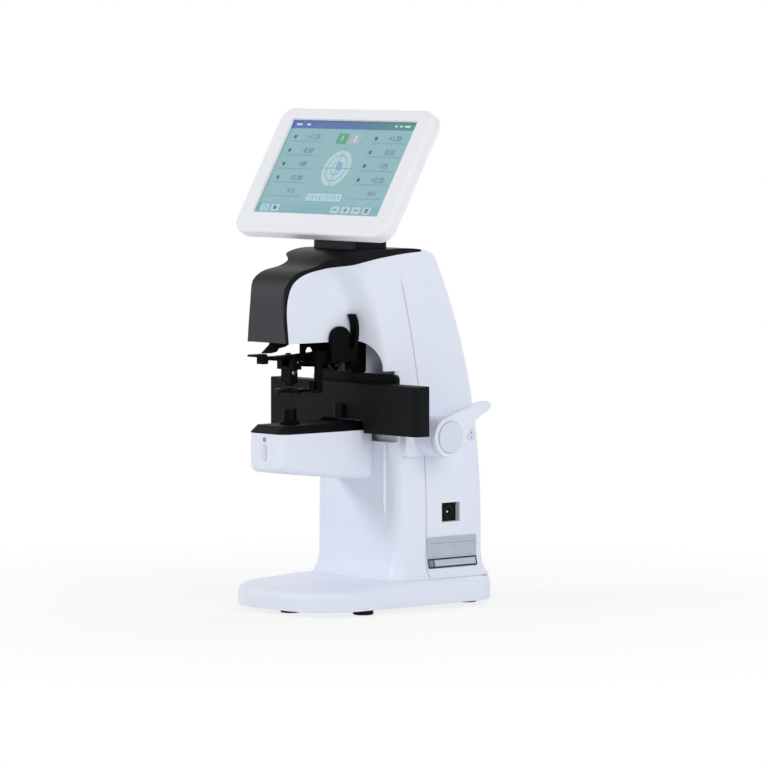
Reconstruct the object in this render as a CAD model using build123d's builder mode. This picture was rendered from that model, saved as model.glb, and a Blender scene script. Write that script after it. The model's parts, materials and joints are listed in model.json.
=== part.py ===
from build123d import *
from math import acos, cos, pi, radians, sin, sqrt, tan
import os

os.makedirs("parts", exist_ok=True)

# Automatic lensmeter, millimetres.
# X runs to the right, Y to the back, Z up; the bench is at Z = 0.
# The optical axis is vertical and stands at X = 0, Y = lens_y.

# Datum of the optics
lens_y = -71.0
lens_rest_height = 169.8

# General moulding and fit values
wall = 3.0
thin_wall = 2.5
seat_gap = 0.3
running_clearance = 0.05
slide_gap = 0.6

# Feet and base
foot_height = 4.5
foot_radius = 8.5
base_plate_thickness = 2.0
base_half_width = 66.0
base_front = lens_y - 23.3
base_rear = lens_y + 183.2
base_top = 25.0
base_nose_height = 20.5
base_front_radius = 42.0
base_rear_radius = 33.0
base_edge_radius = 7.0
base_nose_bulge = 3.0

# Column
column_front = lens_y + 73.2
column_depth = 98.0
column_half_width = 52.5
column_corner = 9.0
column_side_lean = 14.6
column_rear_lean = 43.0
side_curve = 1.9
rear_curve = 2.4
shoulder_start = 60.0
flare_width = 7.5
flare_height = 29.0
flare_curve = 4
chest_half_width = 38.0
chest_raise = 3.2
chest_fade_low = 62.0
chest_fade_high = 88.0

# Upper head
head_bottom = 224.5
head_top = 299.6
head_half_width = 25.0
head_side_lean = 0.04
head_reach = 27.5
head_front_lean = 0.06
head_corner = 6.0
upper_start = 199.0
upper_end = 303.0
flare_start_y = lens_y + 51.0
flare_start_run = 50.0
flare_end_y = lens_y + 68.0
flare_end_run = 42.0

# Niche behind the lens table
niche_half_width = 44.5
niche_floor = 140.0
niche_top = head_bottom
niche_corner = 24.0
niche_back = lens_y + 96.0
bay_back = column_front + 3.1

# Parting line between the front and rear housings, seen from the side
seam_foot_y = lens_y + 101.7
seam_waist_y = lens_y + 104.2
seam_waist_z = 119.0
seam_top_y = lens_y + 80.0

# Lens table and its drive
table_setback = 56.7
table_half_length = 92.85
table_depth = 15.0
table_bottom = 147.3
table_top = 188.6
table_corner = 4.2
table_travel = 40.0
notch_half_width = 28.0
notch_height = 11.2
notch_corner = 7.0
nose_rest_radius = 4.6
nose_rest_height = 12.2
carriage_half_width = 52.0
carriage_thickness = 4.0
carriage_bottom = 150.0
carriage_top = 195.8
carriage_corner = 4.0
slide_block_half_width = 38.0
slide_block_depth = 13.0
slide_block_bottom = 160.5
slide_block_top = 190.0
rod_radius = 4.0
rod_spacing = 52.0
rod_height = 182.0
rod_rear = 84.0
bush_wall = 2.0
bush_length = 16.0

# Rack and sector gear
gear_module = 1.5
gear_teeth = 34
sector_teeth = 11
gear_left = 5.0
sector_hub_radius = 6.4
gear_width = 8.0
rack_back_height = 6.0
lever_axis_y = lens_y + 105.0
lever_axis_z = 144.5
shaft_radius = 4.0

# Table lever on the right side
boss_radius = 16.9
boss_end = 76.5
lever_disc_radius = 16.9
lever_face = 77.0
lever_disc_thickness = 5.0
lever_length = 53.0
lever_angle = 30.0
lever_root = 7.0
lever_tip = 3.4
lever_thickness = 7.0

# Lower measuring head
lower_half_width = 23.75
lower_reach = 27.0
lower_split = 149.5
lower_front_bottom = 117.5
lower_rear_bottom = 107.0
lower_corner = 10.0
lower_cover_height = 6.5
lower_cover_chamfer = 5.5
support_radius = 6.2
support_foot_radius = 8.5
support_foot_height = 3.0
support_bore = 3.6

# Display
screen_y = lens_y + 49.9
screen_z = 367.1
screen_tilt = 30.25
active_width = 154.2
active_height = 86.4
side_margin = 18.2
top_margin = 12.0
bottom_margin = 20.0
bezel_corner = 13.0
bezel_proud = 1.0
bezel_thickness = 7.0
back_thickness = 6.5
bulge_thickness = 10.0
bulge_half_width = 52.0
bulge_height = 58.0
bulge_drop = 9.0
hinge_drop = 30.0
hinge_offset = 31.0
hinge_radius = 7.0
hinge_pin_radius = 3.0
lug_half_width = 16.0
ear_thickness = 10.0

# Neck under the display
neck_front = lens_y + 47.6
neck_half_width = 29.0
neck_depth = 38.0
neck_block_height = 9.0

# Marking linkage
link_length = 40.0
link_rest_degrees = 8.0
link_pivot_y = lens_y + 43.2
upper_pivot_z = 214.0
pivot_drop = 10.5
link_half_width = 4.0
link_radius = 3.0
link_pin_radius = 1.5
cheek_thickness = 4.0
pen_spacing = 17.0
pen_radius = 1.8
pen_tip_z = 187.0
pen_bar_bottom = 201.5
pen_bar_top = 205.7
tab_reach = 41.3
tab_half_width = 6.0
tab_height = 214.0

# Lens presser on the right side of the head
presser_rod_x = 17.0
presser_rod_radius = 3.0
presser_plate_thickness = 4.0
presser_dome_radius = 8.0
presser_dome_y = lens_y + 31.0
presser_dome_z = 229.0
presser_block_bottom = 207.0
presser_block_top = 220.9
presser_ring_inner = 8.0
presser_ring_outer = 12.0
presser_ring_bottom = 182.5
presser_ring_thickness = 3.0
presser_pin_radius = 1.2
presser_pin_length = 3.0
fin_width = 8.0
fin_thickness = 3.2
fin_top = 247.0

# Small parts
jack_pocket_width = 20.0
jack_pocket_height = 16.0
jack_pocket_depth = 9.0
jack_y = lens_y + 132.4
jack_z = 79.0
jack_radius = 5.5
plug_y = lens_y + 156.5
plug_z = 142.0
plug_radius = 4.6
switch_x = -28.0
switch_z = 70.0
switch_width = 13.0
switch_height = 21.0
rocker_depth = 1.5
rocker_throw = 14.0
plate_length = 55.0
plate_height = 26.0
plate_thickness = 0.8
plate_y = lens_y + 132.8
plate_z = 46.0
button_width = 4.6
button_height = 12.0
button_z = 133.8
button_travel = 1.0
lamp_z = 144.6
lamp_radius = 2.1
screw_radius = 1.6
screw_head_radius = 2.8


def share(z, low, high):
    """How far z has come from low to high, never below nothing."""
    return max(0.0, (z - low) / (high - low))


def column_half(z):
    lean = column_side_lean * share(z, shoulder_start, head_top) ** side_curve
    flare_top = base_top + flare_height
    flare = flare_width * share(-z, -flare_top, -base_top) ** flare_curve
    return column_half_width - lean + flare


def column_front_at(z):
    flare_top = base_top + flare_height
    return column_front - flare_width * share(-z, -flare_top, -base_top) ** flare_curve


def column_rear_at(z):
    lean = column_rear_lean * share(z, shoulder_start, head_top) ** rear_curve
    flare_top = base_top + flare_height
    flare = flare_width * share(-z, -flare_top, -base_top) ** flare_curve
    return column_front + column_depth - lean + flare


def column_length(inset, low, high, steps=4):
    """One stretch of the column, lofted through evenly spaced rounded rectangles."""
    with BuildPart() as form:
        for step in range(steps + 1):
            z = low + (high - low) * step / steps
            front = column_front_at(z) + inset
            rear = column_rear_at(z) - inset
            with BuildSketch(Plane.XY.offset(z)):
                with Locations((0, (front + rear) / 2)):
                    corner = column_corner + column_front - column_front_at(z) - inset
                    RectangleRounded(2 * (column_half(z) - inset), rear - front, corner)
        loft()
    return form.part


def lower_column(inset):
    """Column below the head: the flared foot and the leaning shaft above it."""
    flare_top = base_top + flare_height
    return column_length(inset, base_top, flare_top) + column_length(inset, flare_top, upper_start)


def upper_outline(z, inset):
    """Plan of the head and the column behind it at one height."""
    rise = share(z, upper_start, upper_end)
    head_x = head_half_width - head_side_lean * (z - head_bottom) - inset
    head_y = lens_y - head_reach + head_front_lean * (z - head_bottom) + inset
    nose = head_corner - inset
    side_x = column_half(z) - inset
    rear_y = column_rear_at(z) - inset
    heel = column_corner - inset
    bend_a = flare_start_y - flare_start_run * rise**2 + inset
    bend_b = flare_end_y - flare_end_run * rise**3 + inset
    middle = (bend_a + bend_b) / 2
    with BuildSketch(Plane.XY.offset(z)) as outline:
        with BuildLine():
            Line((0, head_y), (head_x - nose, head_y))
            JernArc((head_x - nose, head_y), (1, 0), nose, 90)
            Line((head_x, head_y + nose), (head_x, bend_a))
            Bezier((head_x, bend_a), (head_x, middle), (side_x, middle), (side_x, bend_b))
            Line((side_x, bend_b), (side_x, rear_y - heel))
            JernArc((side_x, rear_y - heel), (0, 1), heel, 90)
            Line((side_x - heel, rear_y), (0, rear_y))
            mirror(about=Plane.YZ)
        make_face()
    return outline.sketch


def upper_body(inset):
    """Head and upper column as one flowing form."""
    steps = 7
    heights = [upper_start + (upper_end - upper_start) * step / steps for step in range(steps + 1)]
    with BuildPart() as form:
        for z in heights:
            add(upper_outline(z, inset))
        loft()
    return form.part


def side_zone(points, closing, half_width=120.0):
    """A block whose side view is a smooth curve closed by straight edges."""
    with BuildPart() as zone:
        with BuildSketch(Plane.YZ):
            with BuildLine():
                curve = Spline(*points)
                Polyline(curve @ 1, *closing, curve @ 0)
            make_face()
        extrude(amount=half_width, both=True)
    return zone.part


def roof_points(drop):
    """Top line of the black cover in side view, lowered by drop."""
    front = lens_y - head_reach
    return [
        (front - 1.0 + drop, head_bottom - 12.0),
        (front + 2.6 + drop, 262.0),
        (front + 7.5 + drop, 275.0 - drop * 0.6),
        (front + 16.0, 281.4 - drop),
        (front + 38.0, 286.8 - drop),
        (front + 53.0, 294.0 - drop),
        (front + 68.0, head_top - 0.8 - drop),
        (front + 100.0, head_top - drop),
        (front + 140.0, head_top - 1.2 - drop),
        (front + 151.0 - drop * 0.5, head_top - 4.8 - drop),
        (front + 158.0 - drop, head_top - 11.5 - drop * 0.5),
        (front + 164.0 - drop, head_top - 21.0),
    ]


def under_roof(drop):
    """Everything below the black cover's top line."""
    rear = column_front + column_depth + 40.0
    front = lens_y - head_reach - 1.0
    return side_zone(roof_points(drop), [(rear, head_top - 26.0), (rear, 0), (front, 0)])


def below_cover():
    """Everything behind and below the joint between white housing and black cover."""
    front = lens_y - head_reach
    points = [
        (front + 4.2, head_bottom - 12.0),
        (front + 7.0, 264.0),
        (front + 11.4, 272.3),
        (front + 19.0, 277.8),
        (front + 46.0, 284.4),
        (front + 73.0, 289.2),
        (front + 106.0, 294.0),
        (front + 139.0, 296.6),
    ]
    rear = column_front + column_depth + 40.0
    return side_zone(points, [(front + 140.0, head_top + 4), (rear, head_top + 4), (rear, 0), (front + 4.2, 0)])


def front_zone():
    """Everything in front of the housing's parting line."""
    points = [(seam_foot_y, 0), (seam_waist_y, seam_waist_z), (seam_top_y, head_top + 10)]
    front = lens_y - 100.0
    return side_zone(points, [(front, head_top + 10), (front, 0)])


def arch_block(half_width, floor, top, corner, back):
    """Round-shouldered block that opens the column towards the lens table."""
    with BuildPart() as block:
        with BuildSketch(Plane.XZ.offset(-back)):
            with BuildLine():
                Polyline((0, floor), (half_width, floor), (half_width, top - corner))
                JernArc((half_width, top - corner), (0, 1), corner, 90)
                Line((half_width - corner, top), (0, top))
                mirror(about=Plane.YZ)
            make_face()
        extrude(amount=back - lens_y + 120.0)
    return block.part


# Shared bodies of the moulded housing
outer_form = lower_column(0) + upper_body(0)
inner_form = lower_column(wall) + upper_body(wall)
niche = arch_block(niche_half_width, niche_floor, niche_top, niche_corner, niche_back)
niche_lining = arch_block(
    niche_half_width + 1.5 * wall, niche_floor - wall, niche_top + wall, 1, niche_back + wall
)
outer_roofed = outer_form & under_roof(0)
cavity = (inner_form & under_roof(wall)) - niche_lining
shell_form = outer_roofed - cavity - niche
white_zone = below_cover()
seam_zone = front_zone()

lever_axis = Plane(origin=(0, lever_axis_y, lever_axis_z), x_dir=(0, 1, 0), z_dir=(1, 0, 0))
gear_pitch_radius = gear_module * gear_teeth / 2
rack_pitch_z = lever_axis_z + gear_pitch_radius
table_front = lens_y + table_setback
table_rear = table_front + table_depth
carriage_rear = table_rear + carriage_thickness
head_front = lens_y - head_reach
lower_front = lens_y - lower_reach
chest_front = column_front - chest_raise

# Front housing: head sides, column front, chest and lever boss
with BuildPart() as front_housing:
    add((shell_form & white_zone) & seam_zone)
    with BuildSketch(Plane.YZ):
        with BuildLine():
            Polyline(
                (column_front + wall, chest_fade_low),
                (column_front, chest_fade_low),
                (chest_front, chest_fade_high),
                (chest_front, niche_floor),
                (column_front + wall, niche_floor),
                close=True,
            )
        make_face()
    extrude(amount=chest_half_width, both=True)
    with Locations((0, bay_back - 60, (niche_floor + upper_start) / 2)):
        Box(240, 120, upper_start - niche_floor, mode=Mode.SUBTRACT)
    with BuildSketch(lever_axis.offset(column_half(lever_axis_z) - wall)):
        Circle(boss_radius)
    extrude(amount=boss_end - column_half(lever_axis_z) + wall)
    with BuildSketch(lever_axis.offset(column_half(lever_axis_z) - wall)):
        with Locations((-(lever_axis_y - bay_back) / 2 + 1, 0)):
            RectangleRounded(lever_axis_y - bay_back - 2, 2 * boss_radius, 4)
    extrude(amount=wall + 6)
    with BuildSketch(lever_axis.offset(column_half(lever_axis_z) - 2 * wall)):
        Circle(shaft_radius + 3)
    extrude(amount=boss_end, mode=Mode.SUBTRACT)
    with BuildSketch(Plane.XY.offset(head_bottom - 1)):
        with Locations((0, lens_y)):
            Circle(9)
    extrude(amount=wall + 2, mode=Mode.SUBTRACT)
    for side in (-1, 1):
        with BuildSketch(Plane.XZ.offset(-niche_back + 1)):
            with Locations((side * rod_spacing / 2, rod_height)):
                Circle(rod_radius + bush_wall)
        extrude(amount=-wall - 2, mode=Mode.SUBTRACT)
    with BuildSketch(Plane.XZ.offset(-niche_back + 1)):
        with Locations((gear_left + gear_width / 2, (niche_floor + 1 + 182) / 2)):
            Rectangle(gear_width + 5, 182 - niche_floor - 1)
    extrude(amount=-wall - 2, mode=Mode.SUBTRACT)
front_housing.part.label = "front_housing"
export_step(front_housing.part, "parts/front_housing.step")

side_plug_plane = Plane(origin=(column_half(plug_z), plug_y, plug_z), x_dir=(0, 1, 0), z_dir=(1, 0, 0))
switch_plane = Plane(
    origin=(switch_x, column_front + column_depth + 0.1, switch_z), x_dir=(-1, 0, 0), z_dir=(0, 1, 0)
)

# Rear housing with the supply socket's pocket
jack_plane = Plane(origin=(column_half(jack_z), jack_y, jack_z), x_dir=(0, 1, 0), z_dir=(1, 0, 0))
with BuildPart() as rear_housing:
    add((shell_form & white_zone) - seam_zone)
    with BuildSketch(lever_axis):
        Circle(boss_radius + seat_gap)
    extrude(amount=boss_end + 5, mode=Mode.SUBTRACT)
    with BuildSketch(jack_plane.offset(-jack_pocket_depth - wall)):
        Rectangle(jack_pocket_width + 2 * wall, jack_pocket_height + 2 * wall)
    extrude(amount=jack_pocket_depth)
    with BuildSketch(jack_plane.offset(-jack_pocket_depth)):
        Rectangle(jack_pocket_width, jack_pocket_height)
    extrude(amount=jack_pocket_depth + wall, mode=Mode.SUBTRACT)
    with BuildSketch(side_plug_plane.offset(-wall)):
        Circle(plug_radius)
    extrude(amount=2 * wall, mode=Mode.SUBTRACT)
    with BuildSketch(switch_plane.offset(-2 * wall)):
        Rectangle(switch_width, switch_height)
    extrude(amount=3 * wall, mode=Mode.SUBTRACT)
    with BuildSketch(jack_plane.offset(-jack_pocket_depth - 2 * wall)):
        Circle(jack_radius)
    extrude(amount=2 * wall, mode=Mode.SUBTRACT)
    for row in range(6):
        with BuildSketch(Plane.XZ.offset(-column_front - column_depth - 5)):
            with Locations((0, 120 + 7 * row)):
                SlotOverall(46, 2.6)
        extrude(amount=30, mode=Mode.SUBTRACT)
rear_housing.part.label = "rear_housing"
export_step(rear_housing.part, "parts/rear_housing.step")

# Black cover over the head, running down its front
with BuildPart() as top_cover:
    add(shell_form - white_zone)
top_cover.part.label = "top_cover"
export_step(top_cover.part, "parts/top_cover.step")


def base_outline(height, inset):
    """Plan of the base: gently bowed nose, big front corners, rounded rear corners."""
    half = base_half_width - inset
    front = base_front + inset
    rear = base_rear - inset
    with BuildSketch(Plane.XY.offset(height)) as plan:
        with BuildLine():
            ThreePointArc((-half, front + base_nose_bulge), (0, front), (half, front + base_nose_bulge))
            Polyline((half, front + base_nose_bulge), (half, rear), (-half, rear), (-half, front + base_nose_bulge))
        make_face()
        corners = plan.vertices().sort_by(Axis.Y)
        fillet(corners[:2], radius=base_front_radius - inset)
        corners = plan.vertices().sort_by(Axis.Y)
        fillet(corners[-2:], radius=base_rear_radius - inset)
    return plan.sketch


def base_side(drop):
    """Side view of the base, flat under the column and falling to the nose."""
    bend = column_front - flare_width - 2
    with BuildPart() as block:
        with BuildSketch(Plane.YZ):
            with BuildLine():
                Polyline(
                    (base_front - 5, foot_height - 5),
                    (base_front - 5, base_nose_height - drop),
                    (bend, base_top - drop),
                    (base_rear + 5, base_top - drop),
                    (base_rear + 5, foot_height - 5),
                    close=True,
                )
            make_face()
        extrude(amount=base_half_width + 5, both=True)
    return block.part


foot_places = [
    (0, lens_y + 1.2),
    (-53, lens_y + 34.3),
    (53, lens_y + 34.3),
    (-34, lens_y + 167.0),
    (34, lens_y + 167.0),
]
screw_places = [(-40, base_front + 48), (40, base_front + 48), (-53, base_rear - 60), (53, base_rear - 60)]

# Base cover: a low moulded tray, open below
with BuildPart() as base_cover:
    add(base_outline(foot_height, 0))
    extrude(amount=base_top)
    add(base_side(0), mode=Mode.INTERSECT)
    rim = base_cover.edges().filter_by(
        lambda edge: edge.center().Z > base_nose_height - 2
        and not (edge.length > base_half_width and abs(edge.center().X) < 1 and abs(edge.center().Y) < 60)
    )
    fillet(rim, radius=base_edge_radius)
    with BuildPart(mode=Mode.SUBTRACT):
        add(base_outline(foot_height, wall))
        extrude(amount=base_top)
        add(base_side(wall), mode=Mode.INTERSECT)
    with Locations(*[(x, y, foot_height + base_plate_thickness) for x, y in screw_places]):
        Cylinder(4.5, 16, align=(Align.CENTER, Align.CENTER, Align.MIN))
        Cylinder(screw_radius, 10, align=(Align.CENTER, Align.CENTER, Align.MIN), mode=Mode.SUBTRACT)
base_cover.part.label = "base_cover"
export_step(base_cover.part, "parts/base_cover.step")

board_post_height = 5.0
board_z = foot_height + base_plate_thickness + board_post_height
board_holes = [(-38, 6), (38, 6), (-38, 84), (38, 84)]

# Steel plate that closes the base, with the posts of the main board
with BuildPart() as base_plate:
    add(base_outline(foot_height, wall + seat_gap))
    extrude(amount=base_plate_thickness)
    with Locations(*[(x, y, board_z - board_post_height) for x, y in board_holes]):
        Cylinder(3, board_post_height, align=(Align.CENTER, Align.CENTER, Align.MIN))
    with Locations(*[(x, y, foot_height) for x, y in screw_places]):
        Cylinder(screw_radius, 20, mode=Mode.SUBTRACT)
base_plate.part.label = "base_plate"
export_step(base_plate.part, "parts/base_plate.step")

# Rubber feet
with BuildPart() as rubber_feet:
    with Locations(*[(x, y, 0) for x, y in foot_places]):
        Cylinder(foot_radius, foot_height, align=(Align.CENTER, Align.CENTER, Align.MIN))
    fillet(rubber_feet.edges().group_by(Axis.Z)[0], radius=1.2)
rubber_feet.part.label = "rubber_feet"
export_step(rubber_feet.part, "parts/rubber_feet.step")

# Screws that hold the base plate to the posts of the base cover
with BuildPart() as base_screws:
    with Locations(*[(x, y, foot_height - 1.6) for x, y in screw_places]):
        Cylinder(screw_head_radius, 1.6, align=(Align.CENTER, Align.CENTER, Align.MIN))
        Cylinder(screw_radius, 10, align=(Align.CENTER, Align.CENTER, Align.MIN))
base_screws.part.label = "base_screws"
export_step(base_screws.part, "parts/base_screws.step")


def lower_form(inset, top):
    """Lower measuring head: falling underside, round nose, soft lower edges."""
    half = lower_half_width - inset
    front = lower_front + inset
    with BuildPart() as form:
        with BuildSketch(Plane.YZ):
            with BuildLine():
                Polyline(
                    (chest_front, top),
                    (front, top),
                    (front, lower_front_bottom + inset),
                    (chest_front, lower_rear_bottom + inset),
                    close=True,
                )
            make_face()
        extrude(amount=half, both=True)
        nose = form.edges().filter_by(Axis.Z).group_by(Axis.Y)[0]
        fillet(nose, radius=lower_corner - inset)
        belly = form.faces().sort_by(Axis.Z)[0].edges()
        belly = belly.filter_by(lambda edge: edge.center().Y < chest_front - 1)
        fillet(belly, radius=6.5 - inset)
    return form.part


# White shell of the lower measuring head
with BuildPart() as lower_shell:
    add(lower_form(0, lower_split))
    add(lower_form(thin_wall, lower_split + 1), mode=Mode.SUBTRACT)
    with BuildSketch(Plane.XZ.offset(-lower_front + 1)):
        with Locations((0, button_z)):
            RectangleRounded(button_width + 2 * seat_gap, button_height + 2 * seat_gap, 2)
        with Locations((0, lamp_z)):
            Circle(lamp_radius)
    extrude(amount=-thin_wall - 2, mode=Mode.SUBTRACT)
lower_shell.part.label = "lower_shell"
export_step(lower_shell.part, "parts/lower_shell.step")

# Black cover on the lower head with its sloping shoulders
with BuildPart() as lower_cover:
    with BuildSketch(Plane.XY.offset(lower_split)) as plan:
        with BuildLine():
            Polyline(
                (-lower_half_width, chest_front),
                (-lower_half_width, lower_front),
                (lower_half_width, lower_front),
                (lower_half_width, chest_front),
                close=True,
            )
        make_face()
        fillet(plan.vertices().group_by(Axis.Y)[0], radius=lower_corner)
    extrude(amount=lower_cover_height)
    shoulder = lower_cover.faces().sort_by(Axis.Z)[-1].edges()
    chamfer(shoulder.filter_by(lambda edge: edge.center().Y < chest_front - 1), length=lower_cover_chamfer)
    with Locations((0, lens_y, lower_split)):
        Cylinder(support_bore, 30, mode=Mode.SUBTRACT)
lower_cover.part.label = "lower_cover"
export_step(lower_cover.part, "parts/lower_cover.step")

cover_top = lower_split + lower_cover_height
optical_axis = Axis((0, lens_y, 0), (0, 0, 1))

# Lens support: the hollow nose on which the lens lies
with BuildPart() as lens_support:
    with BuildSketch(Plane.XZ.offset(-lens_y)):
        with BuildLine():
            Polyline(
                (support_bore, cover_top),
                (support_foot_radius, cover_top),
                (support_foot_radius, cover_top + support_foot_height - 1),
                (support_foot_radius - 1, cover_top + support_foot_height),
                (support_radius, cover_top + support_foot_height),
                (support_radius - 0.6, lens_rest_height - 1.2),
                (support_radius - 1.2, lens_rest_height - 1.2),
                (support_bore, lens_rest_height - 1.2),
                close=True,
            )
        make_face()
    revolve(axis=optical_axis)
lens_support.part.label = "lens_support"
export_step(lens_support.part, "parts/lens_support.step")

# Soft ring on the lens support, which spares the lens
with BuildPart() as support_ring:
    with BuildSketch(Plane.XY.offset(lens_rest_height - 1.2)):
        with Locations((0, lens_y)):
            Circle(support_radius - 0.8)
            Circle(support_bore, mode=Mode.SUBTRACT)
    extrude(amount=1.2)
    fillet(support_ring.edges().group_by(Axis.Z)[-1].sort_by(SortBy.LENGTH)[-1], radius=0.6)
support_ring.part.label = "support_ring"
export_step(support_ring.part, "parts/support_ring.step")

# Window in the lens support
with BuildPart() as support_window:
    with BuildSketch(Plane.XY.offset(lens_rest_height - 6)):
        with Locations((0, lens_y)):
            Circle(support_bore)
    extrude(amount=1.5)
support_window.part.label = "support_window"
export_step(support_window.part, "parts/support_window.step")

# Sensor tube, relay lens and sensor board inside the lower head
sensor_top = lower_split
sensor_bottom = 123.5
with BuildPart() as sensor_tube:
    with BuildSketch(Plane.XY.offset(sensor_bottom)):
        with Locations((0, lens_y)):
            Circle(9)
            Circle(6.5, mode=Mode.SUBTRACT)
    extrude(amount=sensor_top - sensor_bottom)
sensor_tube.part.label = "sensor_tube"
export_step(sensor_tube.part, "parts/sensor_tube.step")

with BuildPart() as relay_lens:
    with Locations((0, lens_y, sensor_bottom + 11)):
        Cylinder(6.5, 3.5, align=(Align.CENTER, Align.CENTER, Align.MIN))
    with Locations((0, lens_y, sensor_bottom + 14.5 - 14)):
        Sphere(14, mode=Mode.INTERSECT)
relay_lens.part.label = "relay_lens"
export_step(relay_lens.part, "parts/relay_lens.step")

with BuildPart() as sensor_board:
    with Locations((0, lens_y, sensor_bottom - 0.8)):
        Box(30, 30, 1.6)
    with Locations((0, lens_y, sensor_bottom)):
        Box(8, 8, 1.2, align=(Align.CENTER, Align.CENTER, Align.MIN))
sensor_board.part.label = "sensor_board"
export_step(sensor_board.part, "parts/sensor_board.step")

# Button and lamp on the nose of the lower head
with BuildPart() as read_button:
    with BuildSketch(Plane.XZ.offset(-lower_front - thin_wall)):
        with Locations((0, button_z)):
            RectangleRounded(button_width, button_height, 1.7)
    extrude(amount=thin_wall + 0.8)
    fillet(read_button.faces().sort_by(Axis.Y)[0].edges(), radius=0.5)
    with BuildSketch(Plane.XZ.offset(-lower_front - thin_wall - 1.2)):
        with Locations((0, button_z)):
            Rectangle(button_width - 1, button_height + 3)
    extrude(amount=1.2 - seat_gap / 2)
    with BuildSketch(Plane.XZ.offset(-lower_front - thin_wall)):
        with Locations((0, button_z)):
            Rectangle(button_width - 1, button_height - 1)
    extrude(amount=-1.2)
read_button.part.label = "read_button"
export_step(read_button.part, "parts/read_button.step")

with BuildPart() as status_lamp:
    with BuildSketch(Plane.XZ.offset(-lower_front - thin_wall)):
        with Locations((0, lamp_z)):
            Circle(lamp_radius)
    extrude(amount=thin_wall + 0.3)
    with BuildSketch(Plane.XZ.offset(-lower_front - thin_wall)):
        with Locations((0, lamp_z)):
            Circle(lamp_radius + 1)
    extrude(amount=-1)
status_lamp.part.label = "status_lamp"
export_step(status_lamp.part, "parts/status_lamp.step")

# Collimator in the upper head: window, tube, lens and lamp board
with BuildPart() as head_window:
    with BuildSketch(Plane.XY.offset(head_bottom + 0.5)):
        with Locations((0, lens_y)):
            Circle(9)
    extrude(amount=wall - 0.5)
head_window.part.label = "head_window"
export_step(head_window.part, "parts/head_window.step")

tube_bottom = head_bottom + wall
tube_height = 32.0
with BuildPart() as light_tube:
    with BuildSketch(Plane.XY.offset(tube_bottom)):
        with Locations((0, lens_y)):
            Circle(12)
            Circle(8.5, mode=Mode.SUBTRACT)
    extrude(amount=tube_height)
light_tube.part.label = "light_tube"
export_step(light_tube.part, "parts/light_tube.step")

with BuildPart() as collimator_lens:
    with Locations((0, lens_y, tube_bottom + 10)):
        Cylinder(8.5, 4.5, align=(Align.CENTER, Align.CENTER, Align.MIN))
    with Locations((0, lens_y, tube_bottom + 14.5 - 17)):
        Sphere(17, mode=Mode.INTERSECT)
collimator_lens.part.label = "collimator_lens"
export_step(collimator_lens.part, "parts/collimator_lens.step")

with BuildPart() as lamp_board:
    with Locations((0, lens_y, tube_bottom + tube_height)):
        Box(26, 26, 1.6, align=(Align.CENTER, Align.CENTER, Align.MIN))
        Cylinder(2.5, 3, align=(Align.CENTER, Align.CENTER, Align.MAX))
lamp_board.part.label = "lamp_board"
export_step(lamp_board.part, "parts/lamp_board.step")

notch = arch_block(notch_half_width, table_bottom - 9, table_bottom + notch_height, notch_corner, carriage_rear + 1)
notch_lining = arch_block(
    notch_half_width + thin_wall,
    table_bottom - 9,
    table_bottom + notch_height + thin_wall,
    notch_corner + thin_wall,
    table_rear + 1,
)
table_middle_z = (table_bottom + table_top) / 2
table_height = table_top - table_bottom

# Lens table: a long black moulding, open at the back, notched over the lower head
with BuildPart() as lens_table:
    with BuildSketch(Plane.XY.offset(table_bottom)) as plan:
        with Locations((0, table_front + table_depth / 2)):
            Rectangle(2 * table_half_length, table_depth)
        fillet(plan.vertices().group_by(Axis.Y)[0], radius=table_corner)
    extrude(amount=table_height)
    fillet(lens_table.faces().sort_by(Axis.Z)[-1].edges().filter_by(lambda e: e.center().Y < table_rear - 1), 0.8)
    with BuildPart(mode=Mode.PRIVATE) as hollow:
        with Locations((0, table_rear, table_middle_z)):
            Box(
                2 * (table_half_length - thin_wall),
                2 * (table_depth - thin_wall),
                table_height - 2 * thin_wall,
            )
        add(notch_lining, mode=Mode.SUBTRACT)
    add(hollow.part, mode=Mode.SUBTRACT)
    add(notch, mode=Mode.SUBTRACT)
    for side in (-1, 1):
        with BuildSketch(Plane.XZ.offset(-table_rear)):
            with Locations((side * 42, 178), (side * 42, 160)):
                Circle(4)
        extrude(amount=table_depth - thin_wall)
lens_table.part.label = "lens_table"
export_step(lens_table.part, "parts/lens_table.step")

# Post on the table face, against which the bridge of the spectacles rests
with BuildPart() as nose_rest:
    with BuildSketch(Plane.XY.offset(table_bottom + notch_height)):
        with Locations((0, table_front - 2.5)):
            Circle(nose_rest_radius)
        with Locations((0, table_front + 5)):
            Rectangle(30, 10, mode=Mode.SUBTRACT)
    extrude(amount=nose_rest_height)
nose_rest.part.label = "nose_rest"
export_step(nose_rest.part, "parts/nose_rest.step")

# Carriage behind the table, running in the niche
with BuildPart() as table_carriage:
    with BuildSketch(Plane.XZ.offset(-carriage_rear)) as face:
        with Locations((0, (carriage_bottom + carriage_top) / 2)):
            Rectangle(2 * carriage_half_width, carriage_top - carriage_bottom)
        fillet(face.vertices().group_by(Axis.Y)[-1], radius=carriage_corner)
    extrude(amount=carriage_thickness)
    add(notch, mode=Mode.SUBTRACT)
    with Locations((0, carriage_rear, (slide_block_bottom + slide_block_top) / 2)):
        Box(
            2 * slide_block_half_width,
            slide_block_depth,
            slide_block_top - slide_block_bottom,
            align=(Align.CENTER, Align.MIN, Align.CENTER),
        )
    for side in (-1, 1):
        with BuildSketch(Plane.XZ.offset(-carriage_rear)):
            with Locations((side * rod_spacing / 2, rod_height)):
                Circle(rod_radius)
        extrude(amount=-slide_block_depth, mode=Mode.SUBTRACT)
table_carriage.part.label = "table_carriage"
export_step(table_carriage.part, "parts/table_carriage.step")

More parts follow.
